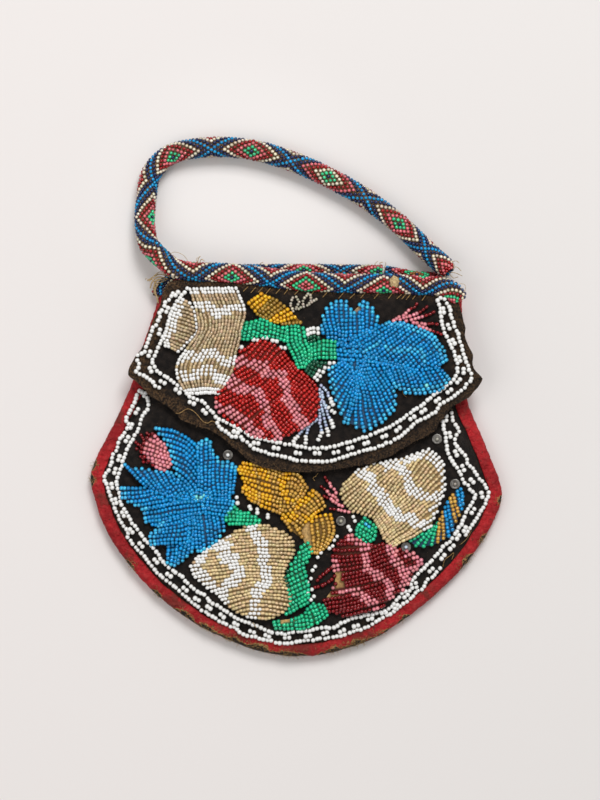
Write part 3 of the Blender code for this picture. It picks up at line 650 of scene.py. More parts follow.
# Beaded rope: a net of small beads sewn round a cord, twelve to a ring, with a diamond every twelve
# rings, on one side and on the other by turns. One rope is the handle and goes on as the front row of
# the mouth. A second row is sewn to the back panel behind it.
BEADS_AROUND = 12
HALF_WAY = BEADS_AROUND // 2
CORD_INSET = 0.2 * MM  # how far the cord is inside the middle of its beads
ROPE_BEAD_WIDTH = 1.34 * MM
ROPE_BEAD_LENGTH = 1.24 * MM
CORE_SIDES = 14
BACK_CORE_SIDES = 12
NAVY = srgb(24, 36, 80)
ROPE_BLUE = srgb(8, 140, 196)
ROPE_GREEN = srgb(58, 190, 132)
ROPE_PINK = srgb(214, 104, 112)
ROPE_RED = srgb(146, 18, 22)
ROPE_WHITE = srgb(222, 208, 184)
BROWN = srgb(150, 96, 48)

# The cord's dark brown is partly its thread colour and partly painted shade between the beads of the net
nodes = Finish("cord_thread_and_shade")
twist = nodes.noise(1500.0, 3.0)
cord_finish = nodes.shade({
    "Base Color": twist.tones(0.35, 0.7, paint(52, 40, 34), paint(140, 106, 68)),
    "Roughness": 0.9,
})

RINGS = [NAVY, ROPE_GREEN, ROPE_PINK, ROPE_RED, ROPE_WHITE, NAVY, ROPE_BLUE]
RINGS_WHITE = [NAVY, ROPE_GREEN, ROPE_WHITE, ROPE_RED, ROPE_PINK, NAVY, ROPE_BLUE]
RINGS_RED = [ROPE_RED, ROPE_PINK, ROPE_GREEN, ROPE_RED, ROPE_WHITE, NAVY, ROPE_BLUE]
RINGS_END = [ROPE_PINK, ROPE_RED, ROPE_PINK, ROPE_RED, ROPE_WHITE, NAVY, ROPE_BLUE]
RINGS_BROWN = [NAVY, BROWN, ROPE_GREEN, ROPE_RED, ROPE_PINK, NAVY, ROPE_BLUE]
RING_GAP = 1.19 * MM  # from ring to ring of the net


def wrapped(value):
    """How far a count is from the nearest whole dozen."""
    return abs((value + HALF_WAY) % BEADS_AROUND - HALF_WAY)


def rope_line(path, wide=None, high=None):
    """A rope's middle line, from (pixel, pixel, level in mm). Its columns are x, y, z and half sizes."""
    points = []
    for px, py, z in path:
        half_width = wide or np.interp(z, [8, 12], [3.45, 3.25])
        half_height = high or np.interp(z, [8, 12], [3.45, 2.4])
        points.append((*at(px, py), z * MM, half_width * MM, half_height * MM))
    curve = smooth(points, 8)
    length = reach_of(curve)[-1]
    return spaced(curve, np.linspace(0, length, max(8, round(length / (1.5 * MM)))))


def rope_frame(line, here):
    """The rope's middle, its direction, its left side and its top at a reach."""
    end = reach_of(line)[-1]
    low, middle, high = spaced(line, [max(here - MM, 0), here, min(here + MM, end)])
    forward = (high - low)[:3]
    forward /= np.linalg.norm(forward)
    side = np.cross((0, 0, 1), forward)
    side /= np.linalg.norm(side)
    return middle, forward, side, np.cross(forward, side)


def rope_reach(line, px, py):
    """How far along a line the point nearest to a pixel is."""
    x, y = at(px, py)
    return reach_of(line)[np.argmin(np.hypot(line[:, 0] - x, line[:, 1] - y))]


def rope_beads(line, marks, variants, begin, end, bare=()):
    """A net of beads round a line. A mark is (pixel, the count of rings there, the turn in degrees)."""
    length = reach_of(line)[-1]
    places = [rope_reach(line, *spot) for spot, ring, turned in marks]
    rings = [ring for spot, ring, turned in marks]
    turns = [turned for spot, ring, turned in marks]
    rings = [rings[0] - places[0] / RING_GAP, *rings, rings[-1] + (length - places[-1]) / RING_GAP]
    places = [0, *places, length]
    turns = [turns[0], *turns, turns[-1]]
    first = math.ceil(np.interp(begin + 0.3 * MM, places, rings))
    last = math.floor(np.interp(end - 0.3 * MM, places, rings))
    made = []
    for ring in range(first, last + 1):
        here = np.interp(ring, rings, places)
        middle, forward, side, top = rope_frame(line, here)
        turned = math.radians(np.interp(here, places, turns))
        for j in range(BEADS_AROUND):
            half_steps = 2 * j + ring % 2
            u, v = (ring + half_steps) // 2, (ring - half_steps) // 2
            diamond = BEADS_AROUND * (round(u / BEADS_AROUND) + round(v / BEADS_AROUND))
            colours = variants.get(diamond, RINGS)
            tint = colours[max(wrapped(u), wrapped(v))]
            angle = math.pi / 2 - half_steps * math.pi / BEADS_AROUND - turned
            across, upward = math.cos(angle), math.sin(angle)
            out = side * across * middle[3] + top * upward * middle[4]
            spot = middle[:3] + out + dice.normal(0, 0.06 * MM, 3)
            if any(math.dist(spot[:2], at(*lost)) < size * PX and upward > 0 for lost, size in bare):
                continue
            outward = side * across / middle[3] + top * upward / middle[4]
            along = forward + side * dice.normal(0, 0.14) + top * dice.normal(0, 0.14)
            made.append((spot, along, outward, ROPE_BEAD_WIDTH, ROPE_BEAD_LENGTH, tint))
    return made


def ring_faces(base, rings, sides):
    """The faces of a tube with closed ends. base is the number of its first point."""
    faces = []
    last = base + (rings - 1) * sides
    for ring in range(base, last, sides):
        for k in range(sides):
            n = (k + 1) % sides
            faces.append((ring + k, ring + n, ring + sides + n, ring + sides + k))
    return [*faces, tuple(range(base, base + sides))[::-1], tuple(range(last, last + sides))]


def tube_piece(name, line, sides):
    """The plain core of a rope, with closed ends."""
    points = []
    for here in reach_of(line):
        middle, forward, side, top = rope_frame(line, here)
        for k in range(sides):
            angle = 2 * math.pi * k / sides
            across = side * math.cos(angle) * (middle[3] - CORD_INSET)
            upward = top * math.sin(angle) * (middle[4] - CORD_INSET)
            points.append(tuple(middle[:3] + across + upward))
    mesh = smooth_mesh(name, points, ring_faces(0, len(line), sides))
    return link_piece(name, mesh, cord_finish)


# One rope: from the handle's right end, over the top, down the left leg and along the front of the
# mouth. Each place is a pixel and a level in mm
ROPE_PATH = [
    (449, 272, 8.0), (441, 263, 6.8), (425, 248.5, 5.0), (399, 223.5, 4.2), (365, 197.5, 4.2),
    (328, 176.5, 4.2), (290, 160, 4.2), (251, 149, 4.2), (211, 146.5, 4.2), (172.4, 152.9, 4.2),
    (151.5, 172, 4.2), (146, 198, 4.3), (144.4, 220, 5.0), (147.5, 242, 7.0), (154, 251, 8.8),
    (162, 259, 10.4), (170, 265.5, 11.6), (178, 269.5, 12.3), (194, 272, 12.8), (212, 272.5, 12.8),
    (231, 273.6, 12.8), (251, 275.7, 12.8), (270, 277.8, 12.8), (288, 280, 12.8), (305.5, 281.9, 12.8),
    (325, 283, 12.8), (345.5, 283.7, 12.8), (382, 283.8, 12.8), (405, 284.6, 12.8), (424, 286, 12.8),
    (438, 286.5, 12.8), (448, 289, 12.7), (455, 294, 12.4), (459, 301, 12.0),
]
ROPE_MARKS = [
    ((399, 223.5), 0, 0), ((328, 176.5), 24, 0), ((251, 149), 48, 14), ((172.4, 152.9), 72, 27),
    ((144.4, 218), 96, 62), ((157, 254), 108, 92), ((192, 272), 120, 120), ((231, 273.6), 132, 150),
    ((270, 277.8), 144, 132), ((305.5, 281.9), 156, 145), ((345.5, 283.7), 168, 125),
    ((382, 283.8), 180, 115), ((424, 286), 192, 101), ((458, 298), 204, 112),
]
ROPE_VARIANTS = {-24: RINGS_END, 24: RINGS_WHITE, 156: RINGS_RED, 204: RINGS_RED}
rope = rope_line(ROPE_PATH)
for end, near in ((0, 1), (-1, -2)):
    rope[end, 3:] *= 0.6
    rope[near, 3:] *= 0.92
rope_end = reach_of(rope)[-1]
split = rope_reach(rope, 173, 267)
cut = int(np.argmin(abs(reach_of(rope) - split)))
handle_core = tube_piece("handle_core", rope[1 : cut + 1], CORE_SIDES)
handle_beads = bead_piece(
    "handle_beads", rope_beads(rope, ROPE_MARKS, ROPE_VARIANTS, 0, split), ["handle_rope"],
)
tube_piece("front_row_core", rope[cut:-1], CORE_SIDES)
bead_piece(
    "front_row_beads",
    rope_beads(rope, ROPE_MARKS, ROPE_VARIANTS, split, rope_end, [((394, 282), 5.5)]),
    ["front_mouth_rope"],
)

# The back row shows above the front one, and is pieced together behind the knot. Each stretch has its
# half width in mm, its path, its marks and the diamonds of other colours
BACK_HALF_HEIGHT = 1.9
BACK_ROPES = [
    (3.3, [(186, 274, 2.6), (262, 273.3, 2.6), (340, 273.6, 2.6), (382, 274.5, 2.6)],
     [((228, 273.4), -24, 20), ((303, 273.5), 0, 22), ((377, 274.3), 24, 22)], {}),
    (3.3, [(384, 274.8, 2.7), (400, 277.5, 2.7), (418, 281, 2.7), (441, 281, 2.7)],
     [((417.6, 281), 0, 55)], {0: RINGS_BROWN}),
    (2.3, [(186, 277, 2.7), (174, 280, 2.9), (165, 283.5, 3.2), (159.5, 289, 3.2), (157.5, 296, 3.0)],
     [((163, 285), 8, 40)], {}),
]
beads = []
for number, (half_width, path, marks, variants) in enumerate(BACK_ROPES):
    line = rope_line(path, half_width, BACK_HALF_HEIGHT)
    tube_piece(f"back_row_core_{number + 1}", line, BACK_CORE_SIDES)
    beads += rope_beads(line, marks, variants, 0, reach_of(line)[-1])
bead_piece("back_row_beads", beads, ["back_mouth_rope"])


# Borders: two lines of white beads round the flap and round the front panel, sewn to the velvet
# inside the edge. Pairs of larger white beads stand between the two lines.
WHITE = srgb(250, 248, 243)
PAIR_WIDTH = 1.95 * MM
BORDER_PITCH = 1.62 * MM
BORDER_WIDTH = 1.75 * MM
BEAD_RISE = 0.46  # how far a bead's middle is over the cloth, as a share of its width
WANDER = 0.15 * MM
NO_CLOTH = 8 * MM  # the level that stands where there is no cloth


def surface(*pieces):
    """A function that gives the height of the pieces' top at a place."""
    trees = [
        BVHTree.FromPolygons([v.co for v in p.data.vertices], [tuple(f.vertices) for f in p.data.polygons])
        for p in pieces
    ]

    def level(x, y):
        hits = [tree.ray_cast(Vector((x, y, 0.1)), Vector((0, 0, -1)))[0] for tree in trees]
        found = [hit.z for hit in hits if hit is not None]
        return max(found) if found else NO_CLOTH

    return level


flap_top = surface(flap_cloth)
front_top = surface(front_cloth, silk_binding)


def evenly(path, pitch):
    """Points of the path a pitch apart, each in the middle of its own pitch."""
    length = reach_of(np.asarray(path, float))[-1]
    count = max(2, round(length / pitch))
    return spaced(path, (np.arange(count) + 0.5) * length / count)


def bead_line(top, path, pitch, width, tint, lift=0.0):
    """One line of beads on the cloth, through a path in pixels."""
    flat = np.array([at(*p) for p in path])
    curve = smooth(flat, 6) if len(flat) > 2 else flat
    places = evenly(curve, pitch)
    ahead = np.gradient(places, axis=0)
    made = []
    for (x, y), (dx, dy) in zip(places, ahead):
        x, y = x + dice.normal(0, WANDER), y + dice.normal(0, WANDER)
        z = top(x, y) + width * BEAD_RISE + lift
        along = (dx, dy, dice.normal(0, 0.1) * math.hypot(dx, dy))
        made.append(((x, y, z), along, (0, 0, 1), width, pitch * 0.98, tint))
    return made


def with_tips(strung, count, width, tint):
    """A string of beads whose last ones have another width and tint."""
    return strung[:-count] + [(*bead[:3], width, bead[4], tint) for bead in strung[-count:]]


def bead_pairs(top, centres, path):
    """Pairs of larger beads, each pair lying along the nearest stretch of the path."""
    flat = smooth(np.array([at(*p) for p in path]), 6)
    made = []
    for centre in centres:
        x, y = at(*centre)
        nearest = int(np.argmin(np.hypot(flat[:, 0] - x, flat[:, 1] - y)))
        step = flat[min(nearest + 3, len(flat) - 1)] - flat[max(nearest - 3, 0)]
        step /= np.linalg.norm(step)
        for side in (-1, 1):
            px, py = np.array((x, y)) + step * side * 0.82 * MM + dice.normal(0, 0.08 * MM, 2)
            z = top(px, py) + PAIR_WIDTH * BEAD_RISE
            made.append(((px, py, z), (*step, 0), (0, 0, 1), PAIR_WIDTH, 1.6 * MM, WHITE))
    return made


FLAP_OUTER = [
    [(174, 291), (172, 297), (167, 302), (163, 310), (160, 313), (161, 317), (157, 324), (154, 328),
     (152, 334), (149, 340), (147, 347), (144, 352), (139, 356), (138, 360), (140, 365), (137, 372),
     (142, 375), (147, 377), (149, 380), (154, 383), (158, 387), (162, 388)],
    [(218, 421), (219, 427), (225, 430), (231, 436), (240, 437), (245, 441), (252, 446), (261, 451),
     (273, 454), (286, 457), (296, 460), (312, 461), (330, 461), (343, 457), (358, 452), (373, 448),
     (388, 443), (400, 436), (409, 428), (417, 422), (425, 418), (433, 413), (442, 403), (450, 399),
     (457, 393), (464, 387), (471, 378), (467, 367), (462, 349), (458, 337), (454, 326), (450, 315),
     (448, 306), (444, 301), (441, 298), (438, 299)],
]
FLAP_INNER = [
    (188, 287), (184, 294), (181, 297), (171, 313), (169, 323), (166, 331), (163, 339), (159, 347),
    (155, 356), (153, 362), (158, 371), (165, 376), (172, 380), (178, 385), (184, 390), (189, 396),
    (196, 399), (203, 402), (209, 408), (214, 413), (218, 418), (226, 422), (236, 427), (245, 432),
    (253, 437), (263, 439), (277, 442), (291, 445), (310, 448), (330, 447), (347, 443), (362, 438),
    (377, 432), (390, 427), (401, 419), (410, 413), (419, 407), (428, 400), (436, 393), (445, 387),
    (452, 381), (457, 373), (457, 365), (454, 355), (449, 343), (444, 331), (441, 319), (439, 307),
    (436, 299),
]
FLAP_PAIRS = [
    (177, 294), (168, 310), (160, 332), (150, 354), (151, 370), (163, 382), (178, 391), (192, 403),
    (205, 412), (236, 432), (256, 443), (276, 448), (298, 453), (317, 453), (336, 452), (350, 448),
    (366, 443), (384, 436), (398, 429), (412, 418), (423, 411), (437, 400), (449, 391), (458, 381),
    (463, 371), (459, 359), (453, 342), (448, 327), (443, 311),
]
beads = bead_pairs(flap_top, FLAP_PAIRS, FLAP_INNER)
for path in (*FLAP_OUTER, FLAP_INNER):
    beads += bead_line(flap_top, path, BORDER_PITCH, BORDER_WIDTH, WHITE)
bead_piece("flap_border", beads, ["flap_border_beads"])

FRONT_OUTER = [
    [(140, 389), (135, 401), (130, 411), (126, 418), (128, 425), (123, 435), (117, 444), (117, 448),
     (112, 458), (110, 468), (104, 477), (107, 485), (110, 496), (113, 503), (117, 514), (122, 523),
     (128, 532), (128, 537), (134, 546), (143, 555), (151, 565), (158, 573), (167, 581), (177, 589),
     (187, 598), (198, 607), (209, 615), (219, 621), (230, 627), (235, 627), (243, 635), (253, 637),
     (265, 640), (283, 644), (297, 642), (312, 640), (328, 638), (342, 636), (358, 630), (366, 628),
     (376, 622), (389, 615), (402, 606), (413, 597), (417, 591), (422, 591), (427, 580), (433, 577),
     (441, 567)],
    [(464, 537), (473, 524), (479, 515), (484, 507), (488, 497), (488, 490), (482, 481), (478, 478),
     (473, 469), (467, 464), (467, 459), (461, 451), (455, 444), (455, 438), (459, 430), (453, 421),
     (451, 411)],
]
FRONT_INNER = [
    (144, 392), (148, 400), (148, 409), (143, 415), (139, 427), (133, 439), (127, 449), (123, 460),
    (120, 472), (116, 483), (119, 491), (121, 503), (127, 513), (132, 523), (139, 531), (145, 540),
    (153, 547), (155, 551), (162, 560), (170, 569), (181, 576), (190, 585), (199, 593), (204, 594),
    (209, 601), (220, 607), (232, 616), (243, 621), (257, 626), (268, 631), (281, 634), (296, 632),
    (312, 630), (326, 627), (334, 628), (345, 621), (358, 617), (372, 614), (388, 610), (395, 602),
    (404, 592), (409, 591), (412, 588), (411, 582), (420, 572), (427, 565), (435, 557), (443, 547),
    (450, 541), (456, 533), (461, 524), (466, 513), (469, 508), (474, 499), (476, 495), (469, 488),
    (463, 480), (459, 471), (453, 463), (448, 453), (446, 443), (445, 437), (443, 425), (443, 419),
]
FRONT_PAIRS = [
    (143, 394), (137, 411), (131, 426), (127, 439), (119, 458), (115, 471), (112, 486), (116, 501),
    (123, 514), (131, 531), (141, 545), (156, 561), (169, 575), (185, 589), (197, 599), (209, 608),
    (222, 616), (236, 624), (252, 632), (267, 636), (287, 638), (308, 636), (325, 633), (342, 631),
    (356, 626), (370, 619), (384, 613), (396, 607), (406, 596), (416, 585), (431, 570), (443, 557),
    (452, 547), (458, 537), (465, 529), (473, 511), (482, 495), (472, 481), (463, 468), (456, 453),
    (450, 435), (446, 418),
]
beads = bead_pairs(front_top, FRONT_PAIRS, FRONT_INNER)
for path in (*FRONT_OUTER, FRONT_INNER):
    beads += bead_line(front_top, path, BORDER_PITCH, BORDER_WIDTH, WHITE)
bead_piece("front_border", beads, ["front_border_beads"])


# Raised motifs: rows of beads laid side by side over a form of cut paper, so that each row arches.
# The rows are sewn down along the form's edges. The form is painted dark between them, with thread brown
# and painted shade, and where beads are lost its tan paper shows.
SEED_WIDTH = 1.68 * MM
ROW_PITCH = 4.05  # pixels from row to row
BEAD_PITCH = 3.75  # pixels from bead to bead
PAPER = srgb(196, 158, 100)
THREAD_AND_SHADE_BROWN = srgb(92, 62, 36)  # thread brown, and with it painted shade, that darkens a form between its beads
OVER_FORM = 0.85 * MM  # a bead's middle over the cloth, at the form's edge
STEEPEST = 0.05  # the highest arch of a row, as a share of the row's length
ARCH_POWER = 0.8  # under 1: flatter in the middle than a sine
SHARES = np.linspace(0, 1, 81)
FORM_SHARES = np.linspace(0.02, 0.98, 7)

nodes = Finish("form_paper")
form_tint = nodes.add("ShaderNodeAttribute", output="Color", attribute_name="tint")
shade = nodes.noise(1200.0, 3.0).between(0.2, 0.8) * 0.8 + 0.6
form_finish = nodes.shade({
    "Base Color": nodes.add("ShaderNodeHueSaturation", {"Color": form_tint, "Value": shade}),
    "Roughness": 0.9,
})

forms = {"flap": ([], [], []), "front": ([], [], [])}


def across_at(line, share):
    """The point of a cross-line at a share of the way along its own points."""
    place = share * (len(line) - 1)
    i = min(int(place), len(line) - 2)
    return line[i] + (line[i + 1] - line[i]) * (place - i)


def to_path(point, path):
    """How far a point is from a path."""
    if len(path) == 1:
        return math.dist(point, path[0])
    path = np.array(path, float)
    start, step = path[:-1], np.diff(path, axis=0)
    share = np.clip(((point - start) * step).sum(axis=1) / np.maximum((step**2).sum(axis=1), 1e-9), 0, 1)
    return float(np.linalg.norm(start + step * share[:, None] - point, axis=1).min())


def lengthened(row, much):
    """A row of points with both its ends moved out."""
    row = row.copy()
    for end, near in ((0, 1), (-1, -2)):
        step = row[end] - row[near]
        row[end] += step / max(np.linalg.norm(step), 0.1) * much
    return row


def row_through(lines, share, much):
    """The row of beads at a share of the way along the lines, and its length."""
    row = lengthened(np.array([across_at(line, share) for line in lines]), much)
    path = smooth(row, 6) if len(row) > 2 else row
    return path, reach_of(path)[-1]


def lay_form(where, top, rows, arch, tint, bare):
    """The paper form under a motif, from rows of (path, length)."""
    points, faces, colours = forms[where]
    grid = []
    for i, (path, length) in enumerate(rows):
        edge_row = i in (0, len(rows) - 1)
        height = (0.1 if edge_row else min(arch, length * STEEPEST)) * MM
        line = []
        for t in FORM_SHARES:
            px, py = spaced(path, [t * length])[0]
            x, y = at(px, py)
            rise = 0.15 * MM + (0.45 * MM if 0.05 < t < 0.95 and not edge_row else 0)
            line.append(len(points))
            points.append((x, y, top(x, y) + rise + height * math.sin(math.pi * t) ** ARCH_POWER))
            open_paper = any(to_path((px, py), lost) < reach + 1.5 for lost, reach in bare)
            colours.append((*(PAPER if open_paper else tint), 1))
        grid.append(line)
    for a, b in zip(grid, grid[1:]):
        for k in range(len(FORM_SHARES) - 1):
            faces.append((a[k], a[k + 1], b[k + 1], b[k]))


def raised(where, lines, tint, stripes=(), first=(), last=(), by_row=None, arch=1.3, pitch=ROW_PITCH,
           under=None, width=SEED_WIDTH, join=0.98, bare=(), grow=BEAD_PITCH / 2, spread=0.0):
    """Rows of beads over a form. lines go across the rows, in pixels, from the rows' start to their end.

    Each line runs through the first or last beads of the rows, or through beads between them.
    stripes are (path, reach, tint). first and last are tints of the outer beads of each row. join is
    a bead's length in pitches. bare are (path, reach) of lost beads, where the paper shows. grow and
    spread are how far the rows, and the lines, go on past their ends.
    """
    top = flap_top if where == "flap" else front_top
    lines = [lengthened(np.array(line, float), spread) for line in lines]
    rows = np.array([[across_at(line, s) for line in lines] for s in SHARES])
    run = rows[:, -1] - rows[:, 0]
    run /= np.linalg.norm(run, axis=1)[:, None]
    steps = np.diff(rows, axis=0)
    cross = np.abs(steps[:, :, 0] * run[:-1, None, 1] - steps[:, :, 1] * run[:-1, None, 0]).mean(axis=1)
    total = np.concatenate([[0], np.cumsum(cross)])
    count = round(total[-1] / pitch) + 1
    made = []
    for i in range(count):
        share = np.interp(i / max(count - 1, 1) * total[-1], total, SHARES) if count > 1 else 0.5
        path, length = row_through(lines, share, grow)
        slip = dice.normal(0, 1.5) if i % 3 == 0 or dice.random() < 0.2 else slip
        height = min(arch, length * STEEPEST) * MM
        wobble = dice.normal(0, 0.24, 2)
        places = evenly(path, BEAD_PITCH)
        number = len(places)
        t = (np.arange(number) + 0.5) / number
        rises = height * np.sin(math.pi * t) ** ARCH_POWER
        spots = []
        for (px, py), rise in zip(places, rises):
            sway = [1.3 * noise(Vector((px / 15, py / 15, turn))) for turn in (0.5, 7.5)]
            px, py = (px, py) + wobble + sway + dice.normal(0, 0.2, 2)
            x, y = at(px, py)
            spots.append((x, y, top(x, y) + OVER_FORM + rise))
        spots = np.array(spots)
        ahead = np.gradient(spots, axis=0)
        bead_length = length * PX / number
        for k, (spot, step) in enumerate(zip(spots, ahead)):
            colour = by_row[min(i, len(by_row) - 1)] if by_row else tint
            if any(to_path(places[k], line) < reach for line, reach in bare):
                continue
            moved = places[k] + slip * step[:2] / max(np.linalg.norm(step[:2]), 1e-9) * (1, -1)
            for line, reach, other in stripes:
                if to_path(moved, line) < reach:
                    colour = other
            if k < len(first):
                colour = first[k]
            if number - 1 - k < len(last):
                colour = last[number - 1 - k]
            part = join if colour == tint else 0.98
            made.append((spot, step, (0, 0, 1), width, bead_length * part, colour))
    # The form's colour is the beads' tint darkened with thread brown: thread and painted shade between the
    # rows
    under = under or tuple(0.28 * c + 0.3 * b for c, b in zip(tint, THREAD_AND_SHADE_BROWN))
    edges = [np.interp(i / count * total[-1], total, SHARES) for i in range(count + 1)]
    form_rows = [row_through(lines, share, BEAD_PITCH / 3) for share in edges]
    lay_form(where, top, form_rows, arch, under, bare)
    return made


# Tulip on the flap: a crown, a base and one petal, of small clear beads on dark thread. White bands
# cross it in a zigzag, and its rows have white ends.
CLEAR_THREAD_AND_SHADE = srgb(158, 130, 86)
TULIP_CLEAR = srgb(179, 156, 121)
CLEAR_ROWS = {"pitch": 3.5, "width": 1.42 * MM, "under": CLEAR_THREAD_AND_SHADE}  # the clear beads are smaller, and under them the form is dark tan: thread colour and painted shade
TULIP_WHITE = [
    ([(196, 304), (210, 307), (219, 315), (228, 309), (246, 306)], 4.5, WHITE),
    ([(178, 361), (188, 354), (198, 358), (209, 351), (219, 357), (227, 362), (238, 358)], 4.5, WHITE),
    ([(177, 374), (191, 377), (200, 372), (208, 371), (217, 378), (230, 381)], 5.0, WHITE),
    ([(238, 290), (246, 308)], 2.6, WHITE),
]
beads = raised(
    "flap",
    [[(191, 289), (213, 289), (236, 289)], [(197, 311), (221, 314), (245, 311)],
     [(199, 330), (220, 332), (241, 330)], [(190, 347), (213, 349), (238, 348)],
     [(179, 361), (207, 362), (235, 361)], [(178, 377), (204, 379), (229, 379)],
     [(188, 394), (204, 393), (219, 393)]],
    TULIP_CLEAR, TULIP_WHITE, (WHITE, WHITE), (WHITE, WHITE), join=1.2, **CLEAR_ROWS,
)
beads += raised(
    "flap",
    [[(181, 299), (175, 306), (171, 314), (169, 322), (167, 331), (165, 339), (166, 346)],
     [(190, 304), (195, 313), (196, 323), (197, 332), (191, 340), (185, 346), (179, 351)]],
    TULIP_CLEAR, [([(181, 302), (176, 316), (172, 328)], 4.0, WHITE)], (WHITE, WHITE), (WHITE,),
    join=1.2, **CLEAR_ROWS,
)
bead_piece(
    "flap_tulip_beads", beads, ["flap_tulip_crown", "flap_tulip_base", "flap_tulip_petal"]
)

# Stem on the flap: short rows of yellow and olive beads in bands of three and four, over a narrow
# form. It joins the tulip to the strawberry's calyx.
YELLOW = srgb(234, 170, 26)
OLIVE = srgb(160, 124, 46)
beads = raised(
    "flap",
    [[(249, 304), (256, 313), (265, 319), (275, 322), (283, 324)],
     [(262, 294), (272, 299), (282, 306), (290, 313), (300, 322)]],
    YELLOW, by_row=[YELLOW] * 3 + [OLIVE] * 4 + [YELLOW] * 3 + [OLIVE] * 4,
)
bead_piece("flap_stem_beads", beads, ["flap_stem"])

# Sprig on the flap: three strings of clear beads on the bare velvet above the calyx. It is sewn
# flat, with no form under it.
SPRIG = [
    [(287, 316), (296, 310), (306, 306), (318, 299)],
    [(293, 311), (291, 304), (294, 297), (299, 302), (296, 309)],
    [(304, 306), (304, 299), (309, 294), (311, 300), (308, 305)],
]
beads = []
for strand in SPRIG:
    beads += bead_line(flap_top, strand, 1.15 * MM, 1.3 * MM, srgb(176, 168, 150))
bead_piece("flap_sprig_beads", beads)

# Calyx on the flap: green rows over small forms, which are an arm, a heart, a leaf and two dark tips.
# The rows of the tips end in white beads.
GREEN = srgb(28, 186, 134)
GREEN_DARK = srgb(10, 84, 58)
beads = raised(
    "flap",
    [[(239.5, 340), (247, 340), (257, 337), (267, 337), (276, 337), (285, 340)],
     [(243, 324), (251, 322), (260, 320), (268, 323), (277, 327), (287, 328)]], GREEN,
)
beads += raised(
    "flap",
    [[(288, 327), (295, 325), (303, 328)], [(288, 341), (296, 341), (305, 340)],
     [(291, 350), (300, 350), (309, 348)], [(299, 368), (304, 367), (309, 362)]], GREEN,
)
beads += raised(
    "flap", [[(311, 344), (321, 341), (336, 342)], [(312, 360), (322, 357), (334, 358)]], GREEN,
)
beads += raised(
    "flap", [[(308, 342), (318, 338)], [(307, 330), (318, 329)]], GREEN_DARK, last=(WHITE, WHITE),
)
beads += raised(
    "flap", [[(314, 362), (310, 366), (306, 371)], [(333, 363), (325, 371), (317, 380)]], GREEN_DARK,
    last=(WHITE, WHITE),
)
bead_piece(
    "flap_calyx_beads", beads,
    ["flap_calyx_arm", "flap_calyx_heart", "flap_calyx_leaf", "flap_calyx_tips"],
)

# Strawberry on the flap: long red rows over a high form, with pink bands that wind across them.
# Pairs of white beads are sewn along its upper edge.
RED = srgb(176, 24, 18)
PINK = srgb(224, 134, 142)
BERRY_ARCH = 1.7  # in mm, for the strawberry and the three berries
beads = raised(
    "flap",
    [[(241, 352), (233, 365), (229, 380), (217, 395), (218, 410), (236, 424), (252, 435), (268, 439),
      (284, 438), (299, 430)],
     [(247, 349), (249, 354), (252, 364), (252, 376), (256, 389), (269, 400), (281, 408), (293, 414),
      (302, 420), (308, 424)],
     [(252, 345), (262, 341), (272, 344), (282, 350), (289, 360), (297, 370), (308, 377), (317, 388),
      (320, 402), (316, 416)]],
    RED,
    [([(236, 360), (260, 366), (280, 378), (288, 396), (298, 414), (303, 424)], 5.5, PINK),
     ([(229, 384), (252, 390), (264, 406), (270, 424), (280, 438)], 5.0, PINK),
     ([(216, 405), (240, 420), (258, 433)], 5.5, PINK), ([(230, 372), (229, 385)], 3.5, PINK)],
    arch=BERRY_ARCH,
)
for picot in ((240, 347), (256, 340), (265, 338), (275, 341), (283, 348)):
    beads += bead_pairs(flap_top, [picot], [(picot[0] - 4, picot[1]), picot, (picot[0] + 4, picot[1] + 1)])
bead_piece("flap_strawberry_beads", beads, ["flap_strawberry"])

# Stamens on the flap: seven strings of pale blue beads, sewn flat on the velvet between the strawberry
# and the blue leaf. Each ends in three larger white beads.
PALE = srgb(172, 184, 210)
STRANDS = [
    [(321, 384), (327, 392), (330, 400), (334, 406)], [(319, 388), (322, 400), (330, 409), (335, 414)],
    [(321, 390), (324, 405), (330, 420), (334, 428)], [(320, 400), (323, 415), (327, 430), (328, 437)],
    [(319, 405), (320, 420), (321, 432), (318, 441)], [(318, 418), (310, 425), (306, 434), (305, 445)],
    [(316, 420), (306, 427), (300, 433), (293, 443)],
]
beads = []
for strand in STRANDS:
    beads += with_tips(bead_line(flap_top, strand, 1.3 * MM, 1.4 * MM, PALE), 3, 1.9 * MM, WHITE)
bead_piece("flap_stamen_beads", beads, ["flap_stamens"])

# Blue leaf on the flap: six lobes of blue rows, each over its own form, with lighter blue ends. Short
# rows fill the places where the lobes meet.
BLUE = srgb(0, 138, 202)
CYAN = srgb(56, 176, 226)
TURQUOISE = srgb(120, 220, 216)
BLUE_ENDS = (CYAN, CYAN)
beads = raised(
    "flap",
    [[(322, 327), (325, 313), (333, 303), (347, 303), (352, 314), (359, 306), (366, 303), (371, 308),
      (376, 318)],
     [(323, 333), (330, 339), (338, 341), (346, 342), (352, 342), (358, 342), (364, 341), (369, 339),
      (373, 336)]], BLUE, first=BLUE_ENDS, bare=[([(355, 307)], 4.6)],
    grow=3.4, spread=1.0,
)
beads += raised(
    "flap",
    [[(340, 344), (342, 350), (352, 355), (366, 359), (382, 362), (398, 366), (418, 369), (436, 367)],
     [(378, 327), (388, 323), (398, 323), (409, 326), (421, 331), (433, 338), (441, 349), (445, 360)]],
    BLUE, [([(384, 347), (396, 350), (408, 350), (420, 354), (422, 362)], 2.4, CYAN),
           ([(362, 352), (376, 344)], 2.2, CYAN)],
    last=BLUE_ENDS, grow=3.2, spread=1.0,
)
beads += raised(
    "flap",
    [[(385, 361), (395, 364), (406, 368), (418, 371), (430, 370.5), (440, 369)],
     [(394, 386), (404, 391), (416, 392), (430, 391), (441, 388), (447, 378)]],
    BLUE, [([(405, 391), (426, 391)], 5.5, TURQUOISE)], last=BLUE_ENDS, grow=2.8,
)
beads += raised(
    "flap", [[(339, 345), (339, 352), (340, 359)], [(371, 348), (380, 355), (386, 363)]], BLUE, arch=0.6,
    grow=3.6,
)
